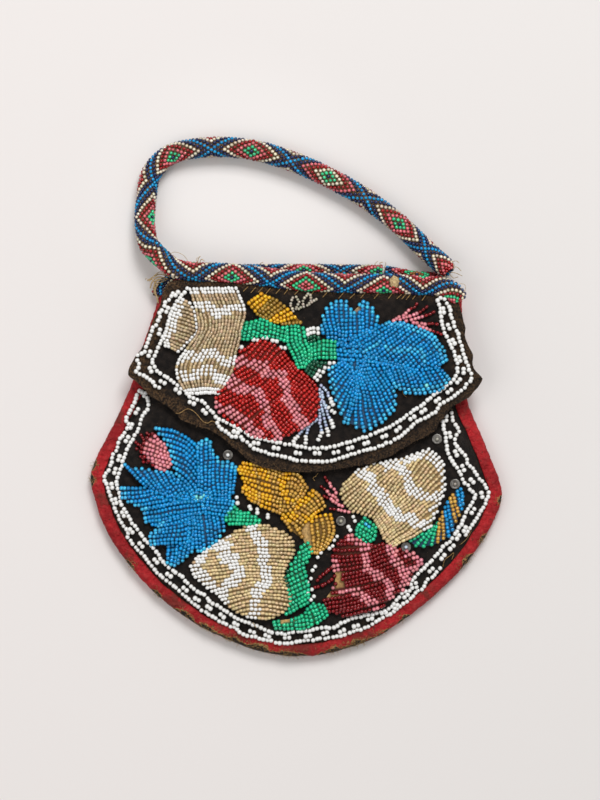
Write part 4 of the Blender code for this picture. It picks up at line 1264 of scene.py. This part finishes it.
beads += raised(
    "flap",
    [[(341, 363), (349, 366), (353, 375), (353, 388)], [(330, 369), (331, 384), (336, 400), (345, 420)]],
    BLUE, last=BLUE_ENDS, grow=3.2, spread=1.0,
)
beads += raised(
    "flap",
    [[(356, 386), (356, 374), (360, 367), (370, 366), (382, 366)],
     [(350, 423), (364, 430), (380, 421), (394, 408), (394, 388)]],
    BLUE, last=BLUE_ENDS, grow=3.2, spread=1.0,
)
for line, other in (
    ([(364, 338), (378, 331)], [(366, 350), (384, 346)]),
    ([(344, 360), (364, 360)], [(350, 376), (358, 377)]),
    ([(381, 361), (392, 363)], [(388, 379), (393, 382)]),
):
    beads += raised("flap", [line, other], BLUE, arch=0.5)
bead_piece(
    "flap_leaf_beads", beads,
    ["flap_leaf_top_lobe", "flap_leaf_heart", "flap_leaf_right_lobe", "flap_leaf_right_tip",
     "flap_leaf_low_lobe", "flap_leaf_bottom_lobe"],
)

# Thistle on the flap: five strings of pink beads, spread like a fan above the blue leaf. Each ends in
# three small dark red beads.
RED_DARK = srgb(118, 0, 8)
THISTLE = [
    [(392, 322), (409, 311), (418, 303)], [(398, 321), (420, 312), (427, 306)],
    [(405, 322), (425, 316), (435, 312)], [(411, 323), (430, 324), (438, 324)],
    [(417, 326), (432, 331), (442, 335)],
]
beads = []
for strand in THISTLE:
    strung = bead_line(flap_top, strand, 1.45 * MM, 1.6 * MM, PINK, lift=0.4 * MM)
    beads += with_tips(strung, 3, 1.3 * MM, RED_DARK)
bead_piece("flap_thistle_beads", beads, ["flap_thistle"])

# Blue leaf on the front: eight lobes of blue rows, each over its own form, with lighter blue ends.
# Short rows fill the places where the lobes meet, with a little turquoise at the middle.
LOBE = {"grow": 3.2, "spread": 1.2}  # its rows reach past the lines, in pixels
beads = raised(
    "front",
    [[(158, 430), (166, 441), (172, 452), (174, 462), (178, 474)],
     [(178, 433), (183, 447), (186, 459), (187, 470), (188, 482)],
     [(196, 447), (197, 459), (197, 471), (197, 483), (195, 494)]], BLUE, first=BLUE_ENDS, **LOBE,
)
beads += raised(
    "front",
    [[(199, 444), (205, 441), (211, 445), (214, 456), (222, 464), (229, 463), (235, 467)],
     [(199, 492), (205, 494), (211, 496), (217, 497), (222, 498), (227, 497), (232, 492)]],
    BLUE, first=BLUE_ENDS, **LOBE,
)
beads += raised(
    "front", [[(206, 499), (205, 505), (207, 511)], [(232, 502), (230, 508), (226, 514)]], BLUE,
    [([(199, 507), (205, 504)], 2.6, CYAN)], last=(CYAN,), **LOBE,
)
for line, other in (
    ([(150, 487), (149, 495)], [(196, 499), (196, 505)]),
    ([(184, 482), (200, 486)], [(190, 500), (202, 500)]),
    ([(152, 517), (152, 525)], [(200, 513), (200, 522)]),
    ([(188, 514), (198, 514)], [(188, 546), (198, 546)]),
    ([(204, 491), (204, 498)], [(230, 491), (229, 499)]),
):
    beads += raised("front", [line, other], BLUE, [([(198, 498), (206, 497)], 3.0, TURQUOISE)], arch=0.5)
beads += raised(
    "front",
    [[(126, 466), (137, 470), (148, 470), (160, 473), (172, 473), (179, 480)],
     [(146, 485), (156, 491), (166, 495), (177, 498), (187, 499), (193, 497)]], BLUE, first=(CYAN,), **LOBE,
)
beads += raised(
    "front",
    [[(123, 489), (124, 498), (134, 504), (142, 508)], [(145, 488), (155, 494), (166, 499), (178, 502)]],
    BLUE, first=BLUE_ENDS, **LOBE,
)
beads += raised("front", [[(146, 510), (147, 520)], [(202, 501), (202, 511)]], BLUE, first=(CYAN,), **LOBE)
beads += raised(
    "front",
    [[(161, 523), (158, 529), (152, 534), (153, 543)], [(192, 515), (192, 523), (192, 531), (190, 540)]],
    BLUE, first=BLUE_ENDS, **LOBE,
)
beads += raised(
    "front",
    [[(195, 515), (203, 514), (212, 514), (221, 517)], [(198, 549), (206, 546), (215, 540), (222, 530)]],
    BLUE, last=(CYAN,), **LOBE,
)
beads += raised(
    "front",
    [[(170, 547), (178, 546), (186, 543.5), (193, 541)], [(169, 561), (176, 564), (184, 558), (191, 551)]],
    BLUE, last=(CYAN,), **LOBE,
)
bead_piece(
    "front_leaf_beads", beads,
    ["leaf_upper_lobe", "leaf_crown_lobe", "leaf_right_lobe", "leaf_foot_lobe", "leaf_shoulder_lobe",
     "leaf_left_lobe", "leaf_lower_lobe", "leaf_low_tip"],
)

# Bud on the front: pink rows over a small form beside the blue leaf, with dark red ends. Seven short
# strings of dark red beads stand out round it.
beads = raised(
    "front",
    [[(163, 444), (167, 451), (170, 458), (171, 465), (164, 470)],
     [(152, 435), (144, 442), (141, 450), (147, 458), (152, 465)]], PINK, last=(RED_DARK,),
)
BUD_TIPS = [
    ((158, 438), (154, 433)), ((150, 437), (146, 431)), ((145, 441), (140, 434)), ((142, 446), (135, 441)),
    ((142, 452), (135, 448)), ((145, 458), (139, 456)), ((149, 463), (142, 461)),
]
for base, tip in BUD_TIPS:
    beads += bead_line(front_top, [base, tip], 1.3 * MM, 1.35 * MM, RED_DARK)
bead_piece("front_bud_beads", beads, ["bud"])

# Gold leaf on the front: four lobes of gold rows over paper forms, with yellow patches. Beads are
# lost along the left of the lowest lobe, and the tan paper shows there.
GOLD = srgb(194, 148, 62)
GOLD_YELLOW = [
    ([(244, 466), (248, 480), (252, 494)], 7.5, YELLOW), ([(262, 468), (266, 490), (268, 510)], 4.5, YELLOW),
    ([(290, 473), (281, 482), (286, 498)], 4.5, YELLOW), ([(284, 518), (296, 518)], 3.5, YELLOW),
    ([(308, 519), (318, 514), (333, 516)], 4.8, YELLOW), ([(312, 492), (302, 500), (292, 512)], 3.5, YELLOW),
]
beads = raised(
    "front",
    [[(244, 463), (238, 470), (243, 478), (247, 484), (241, 491), (249, 498)],
     [(264, 466), (262, 476), (262, 487), (259, 497), (261, 505)],
     [(283, 474), (282, 483), (280, 493), (277, 503), (277, 512)]], GOLD, GOLD_YELLOW,
)
beads += raised(
    "front",
    [[(286, 474), (285, 483), (283, 493), (280, 503), (280, 513)],
     [(298, 475), (296, 484), (294, 493), (289, 503), (285, 515)],
     [(307, 487), (303, 493), (299, 500), (294, 509), (288, 520)]], GOLD, GOLD_YELLOW,
)
beads += raised(
    "front",
    [[(312, 491), (306, 496), (301, 503), (296, 511), (290, 521)],
     [(319, 497), (313, 502), (308, 508), (303, 515), (295, 525)],
     [(324, 506), (319, 510), (314, 514), (309, 519), (300, 529)]], GOLD, GOLD_YELLOW,
)
beads += raised(
    "front",
    [[(331, 514), (323, 515), (315, 517), (303, 520)], [(334, 529), (326, 533), (318, 536), (302, 536)],
     [(326, 547), (321, 550), (317, 553), (310, 552)]], GOLD, GOLD_YELLOW, arch=0.9,
    bare=[([(304, 522), (304, 535), (307, 546)], 4.4)],
)
beads += raised(
    "front", [[(283, 518), (289, 521), (294, 524)], [(291, 530), (296, 534), (301, 537)]], GOLD, GOLD_YELLOW,
    arch=0.5,
)
bead_piece(
    "gold_leaf_beads", beads,
    ["gold_leaf_top", "gold_leaf_middle", "gold_leaf_shoulder", "gold_leaf_foot"],
)

# Left berry on the front: rows of small clear beads on dark thread over a high form. White bands wind
# across them, and the cap at its left is part of the same rows.
CLEAR = srgb(206, 180, 134)
LEFT_WHITE = [
    ([(213, 546), (228, 545)], 4.5, WHITE),
    ([(222, 550), (226, 558), (234, 557), (236, 567), (240, 573), (234, 580), (226, 585), (222, 592),
      (224, 600)], 5.8, WHITE),
    ([(253, 526), (255, 532), (259, 540), (262, 548), (263, 560), (264, 567), (267, 575), (266, 583),
      (260, 588), (256, 596), (254, 605), (252, 613), (248, 617)], 5.4, WHITE),
    ([(203, 550), (198, 560), (196, 570), (203, 578), (212, 586)], 5.5, WHITE),
    ([(232, 532), (222, 538), (214, 544)], 3, WHITE),
]
beads = raised(
    "front",
    [[(246, 527), (224, 537), (208, 548), (197, 557), (191, 566), (194, 576), (206, 586), (219, 595),
      (226, 604), (236, 611), (248, 617)],
     [(257, 525), (254, 533), (252, 542), (250, 551), (248, 560), (247, 569), (248, 578), (250, 588),
      (252, 597), (254, 607), (260, 619)],
     [(268, 526), (283, 532), (292, 541), (294, 551), (289, 561), (283, 570), (286, 581), (291, 591),
      (290, 602), (284, 611), (273, 618)]], CLEAR, LEFT_WHITE, arch=BERRY_ARCH, join=1.15,
    **CLEAR_ROWS,
)
bead_piece("left_berry_beads", beads, ["left_berry", "left_berry_cap"])

# Small green leaf on the front: a few green rows above the left berry. Four short strings of white
# beads stand up from its upper edge.
beads = raised(
    "front",
    [[(234, 507), (228, 513), (225.5, 518), (229, 524)], [(240, 511), (251, 514), (260, 519), (259, 523)]],
    GREEN,
)
for low, high in (((236, 495), (238, 505)), ((248, 504), (252, 511)), ((258, 507), (257, 516)),
                  ((269, 514), (267, 518))):
    beads += bead_line(front_top, [low, high], 1.6 * MM, 1.8 * MM, WHITE)
bead_piece("small_leaf_beads", beads, ["small_leaf"])

# Green stem on the front: green rows over a long form between the left berry and the red one, and a
# leaf at its foot with a patch of bare paper. Short strings of white beads cross its right edge.
beads = raised(
    "front",
    [[(301, 547), (296, 558), (290, 567), (286, 577), (288, 588), (291, 598), (290, 607), (286, 614)],
     [(307, 543), (312, 551), (308, 559), (303, 568), (306, 579), (309, 589), (309, 597), (308, 604)]],
    GREEN, [([(286, 569), (286, 583)], 4.0, GREEN_DARK)],
)
beads += raised(
    "front",
    [[(274, 622), (290, 620), (303, 616), (313, 604), (323, 606)],
     [(276, 628), (291, 629), (306, 628), (320, 620), (327, 615)]], GREEN,
    bare=[([(283, 619), (298, 614)], 3.0)],
)
for picot in ((335, 538), (330, 547), (319, 555), (313, 568), (309, 580), (309, 591), (312, 598)):
    low, high = (picot[0] - 3, picot[1] + 3), (picot[0] + 4, picot[1] - 3)
    beads += bead_line(front_top, [low, high], 1.45 * MM, 1.65 * MM, WHITE, lift=0.3 * MM)
bead_piece("green_stem_beads", beads, ["green_stem", "green_leaf"])

# Right berry on the front: rows of small clear beads on dark thread over a high form, with white
# bands that wind across them. Two short strings of white beads stand below it at the left.
RIGHT_WHITE = [
    ([(358, 470), (364, 474), (372, 483), (378, 493), (383, 502), (391, 510), (400, 515), (412, 521),
      (422, 526), (432, 527)], 5.6, WHITE),
    ([(381, 461), (387, 467)], 4.2, WHITE),
    ([(396, 463), (401, 470), (405, 476), (409, 484), (412, 490), (420, 493), (428, 496), (442, 497)],
     5.2, WHITE),
    ([(408, 457), (418, 455), (427, 452), (434, 458), (441, 463), (444, 468)], 7.0, WHITE),
    ([(446, 466), (447, 480), (441, 497), (434, 512)], 4.6, WHITE),
]
beads = raised(
    "front",
    [[(343, 484), (341, 492), (344, 502), (352, 510), (363, 513), (374, 517), (380, 527), (384, 538),
      (393, 546)],
     [(358, 469), (371, 465), (385, 461), (399, 459), (412, 455), (428, 449), (444, 463), (444, 492),
      (431, 526)]], CLEAR, RIGHT_WHITE, last=(WHITE,), arch=BERRY_ARCH, join=1.15,
    **CLEAR_ROWS,
)
for low, high in (((352, 515), (356, 523)), ((347, 525), (352, 532))):
    beads += bead_line(front_top, [low, high], 1.5 * MM, 1.7 * MM, WHITE)
bead_piece("right_berry_beads", beads, ["right_berry", "right_berry_cap"])

# Berry leaf on the front: a few short green rows between the right berry and the red one, sewn over a
# small form.
beads = raised(
    "front",
    [[(365, 518), (360, 523), (357, 529), (357, 535)], [(376, 527), (375, 534), (372, 540), (365, 542)]],
    GREEN, [([(369, 526)], 2.5, CYAN)],
)
bead_piece("berry_leaf_beads", beads, ["berry_leaf"])

# Red berry on the front: dark red rows over a high form, with pink bands that wind across them. Beads
# are lost at its left, and its tip is two strings of dark red beads.
RED_PINK = [
    ([(350, 535), (357, 542), (364, 547), (366, 556), (367, 566), (374, 572), (381, 577), (386, 583),
      (389, 591), (391, 601)], 4.8, PINK),
    ([(388, 543), (394, 549), (396, 558), (400, 565), (404, 572), (404, 580), (402, 588)], 4.6, PINK),
    ([(408, 553), (418, 558), (423, 566), (413, 570), (404, 571)], 3.4, PINK),
    ([(335, 562), (338, 574)], 4, PINK),
    ([(332, 588), (350, 590), (358, 593), (366, 600), (378, 608)], 4, PINK),
]
beads = raised(
    "front",
    [[(345, 538), (337, 545), (333, 554), (333, 564), (335, 575), (334, 586), (324, 600), (327, 611),
      (343, 615)],
     [(349, 537), (357, 545), (362, 552), (366, 560), (369, 569), (372, 578), (372, 589), (370, 600),
      (364, 611)],
     [(352, 536), (372, 545), (388, 543), (398, 549), (413, 553), (423, 563), (411, 573), (406, 587),
      (384, 605)]], RED_DARK, RED_PINK, arch=BERRY_ARCH,
    bare=[([(337, 576), (340, 587)], 4.2), ([(319, 597), (329, 595)], 3.0)],
)
for strand in ([(313, 588), (325, 584), (336, 575)], [(317, 581), (325, 573), (333, 566)]):
    beads += bead_line(front_top, strand, 1.45 * MM, 1.6 * MM, RED_DARK)
bead_piece("red_berry_beads", beads, ["red_berry", "red_berry_tip"])

# Striped stem on the front: short rows in bands of blue, gold and green over a narrow form. It comes
# down from the border beside the right berry.
STEM_ROWS = [BLUE, BLUE, GOLD, GOLD, BLUE, BLUE, GOLD, GOLD, GREEN, GREEN, GREEN]
beads = raised(
    "front",
    [[(461, 489), (452, 496), (446, 506), (439, 520), (432, 529), (422, 534)],
     [(464, 504), (458, 517), (450, 534), (437, 543), (418, 547), (411, 541)]],
    BLUE, by_row=STEM_ROWS,
)
bead_piece("striped_stem_beads", beads, ["striped_stem", "striped_stem_tip"])

# Stamens on the front: four strings of pink beads below the flap's edge, sewn flat on the velvet.
# Each ends in two small dark red beads.
beads = []
for tip, base in (((324, 476), (337, 494)), ((320, 486), (339, 501)), ((323, 495), (344, 507)),
                  ((329, 508), (350, 512))):
    strung = bead_line(front_top, [base, tip], 1.4 * MM, 1.5 * MM, PINK)
    beads += with_tips(strung, 2, 1.3 * MM, RED_DARK)
bead_piece("front_stamen_beads", beads)

# The paper forms themselves: one mesh for those of the flap and one for those of the front, with the
# colour of each form in its points. They are sewn to the velvet under their beads.
for where, (points, faces, colours) in forms.items():
    mesh = smooth_mesh(f"{where}_forms", points, faces)
    layer = mesh.attributes.new("tint", "FLOAT_COLOR", "POINT")
    layer.data.foreach_set("color", np.array(colours, "f").ravel())
    link_piece(f"{where}_forms", mesh, form_finish)


# Sequins: five thin cupped discs of tarnished metal, each with a hole in its middle. The thread comes
# up through the hole and back down round a bead, which holds the disc to the velvet.
SEQUIN_SIDES = 20
SEQUIN_SECTION = [  # radius and height in mm, from the hole over the rim and back underneath
    (0.5, 0.1), (0.5, 0.3), (0.9, 0.22), (1.5, 0.3), (1.9, 0.45), (1.95, 0.35), (1.9, 0.2), (0.9, 0.02),
]
SEQUIN_GREY = srgb(150, 144, 132)
SEQUIN_TINTS = (WHITE, SEQUIN_GREY, SEQUIN_GREY, SEQUIN_GREY, srgb(196, 208, 228))
nodes = Finish("tarnished_sequin")
sequin_finish = nodes.shade({
    "Base Color": nodes.noise(700.0, 4.0).tones(0.3, 0.7, paint(86, 82, 78), paint(146, 142, 136)),
    "Metallic": 0.5,
    "Roughness": 0.35,
})
SEQUINS = [(228, 455), (437, 439), (455, 484), (341, 521), (406, 547)]
points, faces = [], []
beads = []
for spot, tint in zip(SEQUINS, SEQUIN_TINTS):
    x, y = at(*spot)
    z = front_top(x, y) + 0.3 * MM
    base = len(points)
    for radius, height in SEQUIN_SECTION:
        for k in range(SEQUIN_SIDES):
            angle = 2 * math.pi * k / SEQUIN_SIDES
            across, upward = radius * MM * math.cos(angle), radius * MM * math.sin(angle)
            points.append((x + across, y + upward, z + height * MM))
    for ring in range(len(SEQUIN_SECTION)):
        for k in range(SEQUIN_SIDES):
            n = (k + 1) % SEQUIN_SIDES
            a = base + ring * SEQUIN_SIDES
            b = base + (ring + 1) % len(SEQUIN_SECTION) * SEQUIN_SIDES
            faces.append((a + k, a + n, b + n, b + k))
    beads.append(((x, y, z + 0.7 * MM), (1, 0.4, 0), (0, 0, 1), 1.5 * MM, 1.3 * MM, tint))
link_piece(
    "front_sequins", smooth_mesh("front_sequins", points, faces), sequin_finish,
    ["sequin_1", "sequin_2", "sequin_3", "sequin_4", "sequin_5"],
)
bead_piece("sequin_beads", beads)


# Stitches: tan thread that holds the flap along the mouth, and loose ends of it that lie on the
# beadwork and on the velvet.
nodes = Finish("tan_thread")
twist = nodes.noise(1800.0, 3.0)
thread_finish = nodes.shade({
    "Base Color": twist.tones(0.3, 0.7, paint(124, 90, 48), paint(196, 158, 98)),
    "Roughness": 0.85,
    "Normal": nodes.bump(twist, 0.5, 0.0002),
})

def tubes(name, paths, finish, sides=4):
    """Thin round threads along (x, y, z, radius) paths, in one piece."""
    points, faces = [], []
    for path in paths:
        path = np.array(path)
        ahead = np.gradient(path[:, :3], axis=0)
        base = len(points)
        for (x, y, z, radius), forward in zip(path, ahead):
            forward = forward / max(np.linalg.norm(forward), 1e-9)
            side = np.cross((0.02, 0.03, 1), forward)
            side /= max(np.linalg.norm(side), 1e-9)
            top = np.cross(forward, side)
            for k in range(sides):
                angle = 2 * math.pi * k / sides
                out = side * math.cos(angle) + top * math.sin(angle)
                points.append(tuple(np.array((x, y, z)) + radius * out))
        faces += ring_faces(base, len(path), sides)
    return link_piece(name, smooth_mesh(name, points, faces), finish)


def lying(top, path, radius, lift):
    """A thread on the cloth, through a path in pixels. Its radius and its lift are in mm."""
    curve = smooth([at(*p) for p in path], 5)
    return [(x, y, top(x, y) + (radius + lift) * MM, radius * MM) for x, y in curve]


STITCHES = [
    (245.7, 289.5), (253.3, 290.6), (260.6, 290.3), (268.2, 291.4), (278.2, 291.4), (286.6, 291.4),
    (297, 292.5), (312, 294), (325, 295), (341, 296), (352, 296.5), (362.7, 295.8), (376, 296.5),
    (390.4, 295.8), (398.8, 297), (403.8, 296.6), (408.2, 297), (414.5, 296.6), (424, 297.5),
]
threads = []
for px, py in STITCHES:
    lean = dice.uniform(0.8, 1.3)
    stitch = [(px - 2.4, py + 2.6 * lean), (px, py), (px + 2.6, py - 2.8 * lean)]
    threads.append(lying(flap_top, stitch, 0.14, 0.25))
threads += [
    lying(flap_top, [(175, 413), (180, 413), (187, 409), (192, 410), (197, 414), (203, 421), (208, 423),
                     (212, 421), (216, 423), (219, 428)], 0.13, 0.5),
    lying(flap_top, [(402, 391), (403, 394), (406, 397)], 0.1, 0.3),
    lying(flap_top, [(270, 386), (272, 392), (271, 397)], 0.07, 1.8),
    lying(front_top, [(318, 473), (316, 476), (313, 478), (315, 481)], 0.1, 0.3),
    lying(front_top, [(443, 567), (445, 560), (450, 556), (454, 553), (452, 560)], 0.12, 0.5),
    lying(front_top, [(460, 545), (466, 540), (471, 532), (470, 528)], 0.1, 0.5),
    lying(front_top, [(253, 622), (256, 628)], 0.1, 1.6),
]
tubes("stitch_threads", threads, thread_finish)

# Loose cotton: the rope's core frays at the handle's right end and at the left corner of the mouth.
# Single fibres of it stand out between the beads of both rows.
nodes = Finish("pale_cotton")
strands = nodes.noise(2400.0, 3.0)
cotton_finish = nodes.shade({
    "Base Color": strands.tones(0.3, 0.7, paint(150, 122, 82), paint(222, 196, 146)),
    "Roughness": 0.9,
    "Normal": nodes.bump(strands, 0.6, 0.0003),
})


def hanging(path, radius):
    """A thread in the air, through (pixel, pixel, level in mm)."""
    curve = smooth([(*at(px, py), z * MM) for px, py, z in path], 6)
    return [(*p, radius * MM) for p in curve]


loose = [
    hanging(
        [(166, 259, 15.4), (172, 254, 17.0), (177, 253, 17.2), (184, 256, 16.8), (188, 261, 15.6)], 0.09,
    ),
    hanging([(198, 264, 15), (199, 259, 16.3), (201, 257, 16.6)], 0.16),
    hanging([(200, 264, 15), (202, 260, 16.3), (205, 262, 16.4)], 0.14),
    hanging([(199, 264, 15), (197, 261, 16.0), (198, 258, 16.2)], 0.1),
    hanging([(262, 268, 5), (260, 264, 6), (263, 262, 6)], 0.12),
    hanging([(381, 268, 5), (380, 263, 6.2), (383, 262, 6.4)], 0.14),
    hanging([(377, 268, 5), (375, 264, 6.2), (378, 261, 6.4)], 0.1),
    hanging([(384, 268, 5), (386, 264, 6.0), (385, 262, 6.2)], 0.1),
    hanging([(446, 264, 8), (455, 261, 9.2), (459, 263, 9.0)], 0.11),
    hanging([(448, 269, 8), (456, 267, 9.4), (461, 271, 9.0)], 0.13),
    hanging([(448, 272, 8), (455, 273, 9.2), (462, 276, 9.4)], 0.13),
    hanging([(449, 273, 8), (453, 278, 9.6), (458, 277, 10)], 0.12),
    hanging([(459, 284, 14), (464, 285, 13.6), (465, 290, 13.0), (462, 294, 12.6)], 0.09),
    hanging([(461, 288, 13.4), (465, 293, 12.6), (462, 299, 12.0), (458, 303, 11.5)], 0.08),
    hanging([(170, 277, 7), (160, 274, 7.4), (153, 277, 6.6), (147, 280.5, 5.4)], 0.22),
    hanging([(168, 279, 7), (158, 277, 7.2), (152, 282, 6.2), (150, 288, 5)], 0.26),
    hanging([(166, 280, 7), (157, 280, 7.0), (154, 286, 6.2), (154.5, 294, 5)], 0.3),
    hanging([(168, 276, 7), (161, 272, 7.8), (156, 274, 7.2), (151, 279, 6)], 0.16),
    hanging([(164, 281, 7), (156, 283, 6.8), (152, 279, 6.4), (149, 281, 5.8)], 0.18),
    hanging([(158, 284, 6.6), (155, 290, 5.8), (157, 298, 5.4), (158, 303, 5)], 0.3),
    hanging([(148, 281, 5.2), (146, 278, 5.0), (145, 280, 4.8)], 0.08),
]
tubes("loose_threads", loose, cotton_finish)

# Knot on the front row: bare cotton that bulges out where the net of beads has come off the cord.
# It is a lump of wound strands, and a few beads are missing round it.
knot = bmesh.new()
bmesh.ops.create_icosphere(knot, subdivisions=4, radius=1.0)
for vertex in knot.verts:
    bump = 1 + 0.22 * noise(vertex.co * 2.1) + 0.1 * noise(vertex.co * 6.0)
    vertex.co = Vector((vertex.co.x * 1.75 * bump, vertex.co.y * 2.3 * bump, vertex.co.z * 1.0 * bump)) * MM
x, y = at(394, 282.5)
bmesh.ops.translate(knot, verts=knot.verts, vec=(x, y, 15.0 * MM))
mesh = bpy.data.meshes.new("rope_knot")
knot.to_mesh(mesh)
knot.free()
mesh.polygons.foreach_set("use_smooth", [True] * len(mesh.polygons))
link_piece("rope_knot", mesh, cotton_finish)

# Fibres: brown hairs that stand out of the worn velvet, closest together along the flap's free edge.
# They are the rubbed pile and the cut edge of the cloth.
nodes = Finish("brown_fuzz")
fuzz_finish = nodes.shade({
    "Base Color": nodes.noise(900.0).tones(0.35, 0.65, paint(58, 44, 32), paint(132, 104, 72)),
    "Roughness": 0.9,
})


def fibre(x, y, z, length, radius, flat=0.35):
    """One short bent hair from a place."""
    heading = dice.uniform(0, 2 * math.pi)
    bend = dice.normal(0, 0.7)
    rise = dice.uniform(0, flat) * length
    hair = []
    for t in (0, 0.5, 1):
        turned = heading + bend * t
        hair.append((x + math.cos(turned) * length * t, y + math.sin(turned) * length * t,
                     z + rise * math.sin(math.pi * 0.6 * t), radius * (1 - 0.5 * t)))
    return hair


FREE_EDGE = 0.375  # the length of the flap's edge that isn't sewn
EDGE_HAIRS = 2600
hairs = []
for x, y in spaced(np.vstack([flap_ring, flap_ring[:1]]), np.linspace(0, FREE_EDGE, EDGE_HAIRS)):
    inward = (np.array(flap_centre) - (x, y)) * dice.uniform(0.0, 0.06)
    x, y = (x, y) + inward
    if flap_top(x, y) != NO_CLOTH:
        hairs.append(fibre(x, y, flap_top(x, y) - 0.1 * MM, dice.uniform(0.4, 1.2) * MM, 0.05 * MM, 0.5))
for count, left, right, upper, lower, top, lift in (
    (420, 130, 480, 292, 470, flap_top, 0.05 * MM),
    (520, 105, 485, 400, 640, front_top, 0),
):
    for _ in range(count):
        x, y = at(dice.uniform(left, right), dice.uniform(upper, lower))
        if top(x, y) != NO_CLOTH:
            hairs.append(fibre(x, y, top(x, y) + lift, dice.uniform(0.4, 1.6) * MM, 0.035 * MM))
tubes("velvet_fibres", hairs, fuzz_finish, 3)

# Frayed silk: tan threads of the binding's lining, which stand out wherever the silk is worn through.
frays = []
for (px, py), size, much in WORN_SPOTS:
    for _ in range(int(size * much * 7)):
        spot = np.array(at(px, py)) + dice.normal(0, size * 0.55 * PX, 2)
        nearest = int(np.argmin(np.hypot(*(binding_path - spot).T)))
        across, rise = RIBBON_SECTION[dice.integers(6, 11)]
        x, y = binding_path[nearest] + inward_side[nearest] * across * RIBBON_WIDTH
        frays.append(fibre(x, y, rise / 5 * TOP_LEVEL, dice.uniform(0.6, 1.8) * MM, 0.06 * MM, 0.3))
tubes("silk_frays", frays, thread_finish, 3)
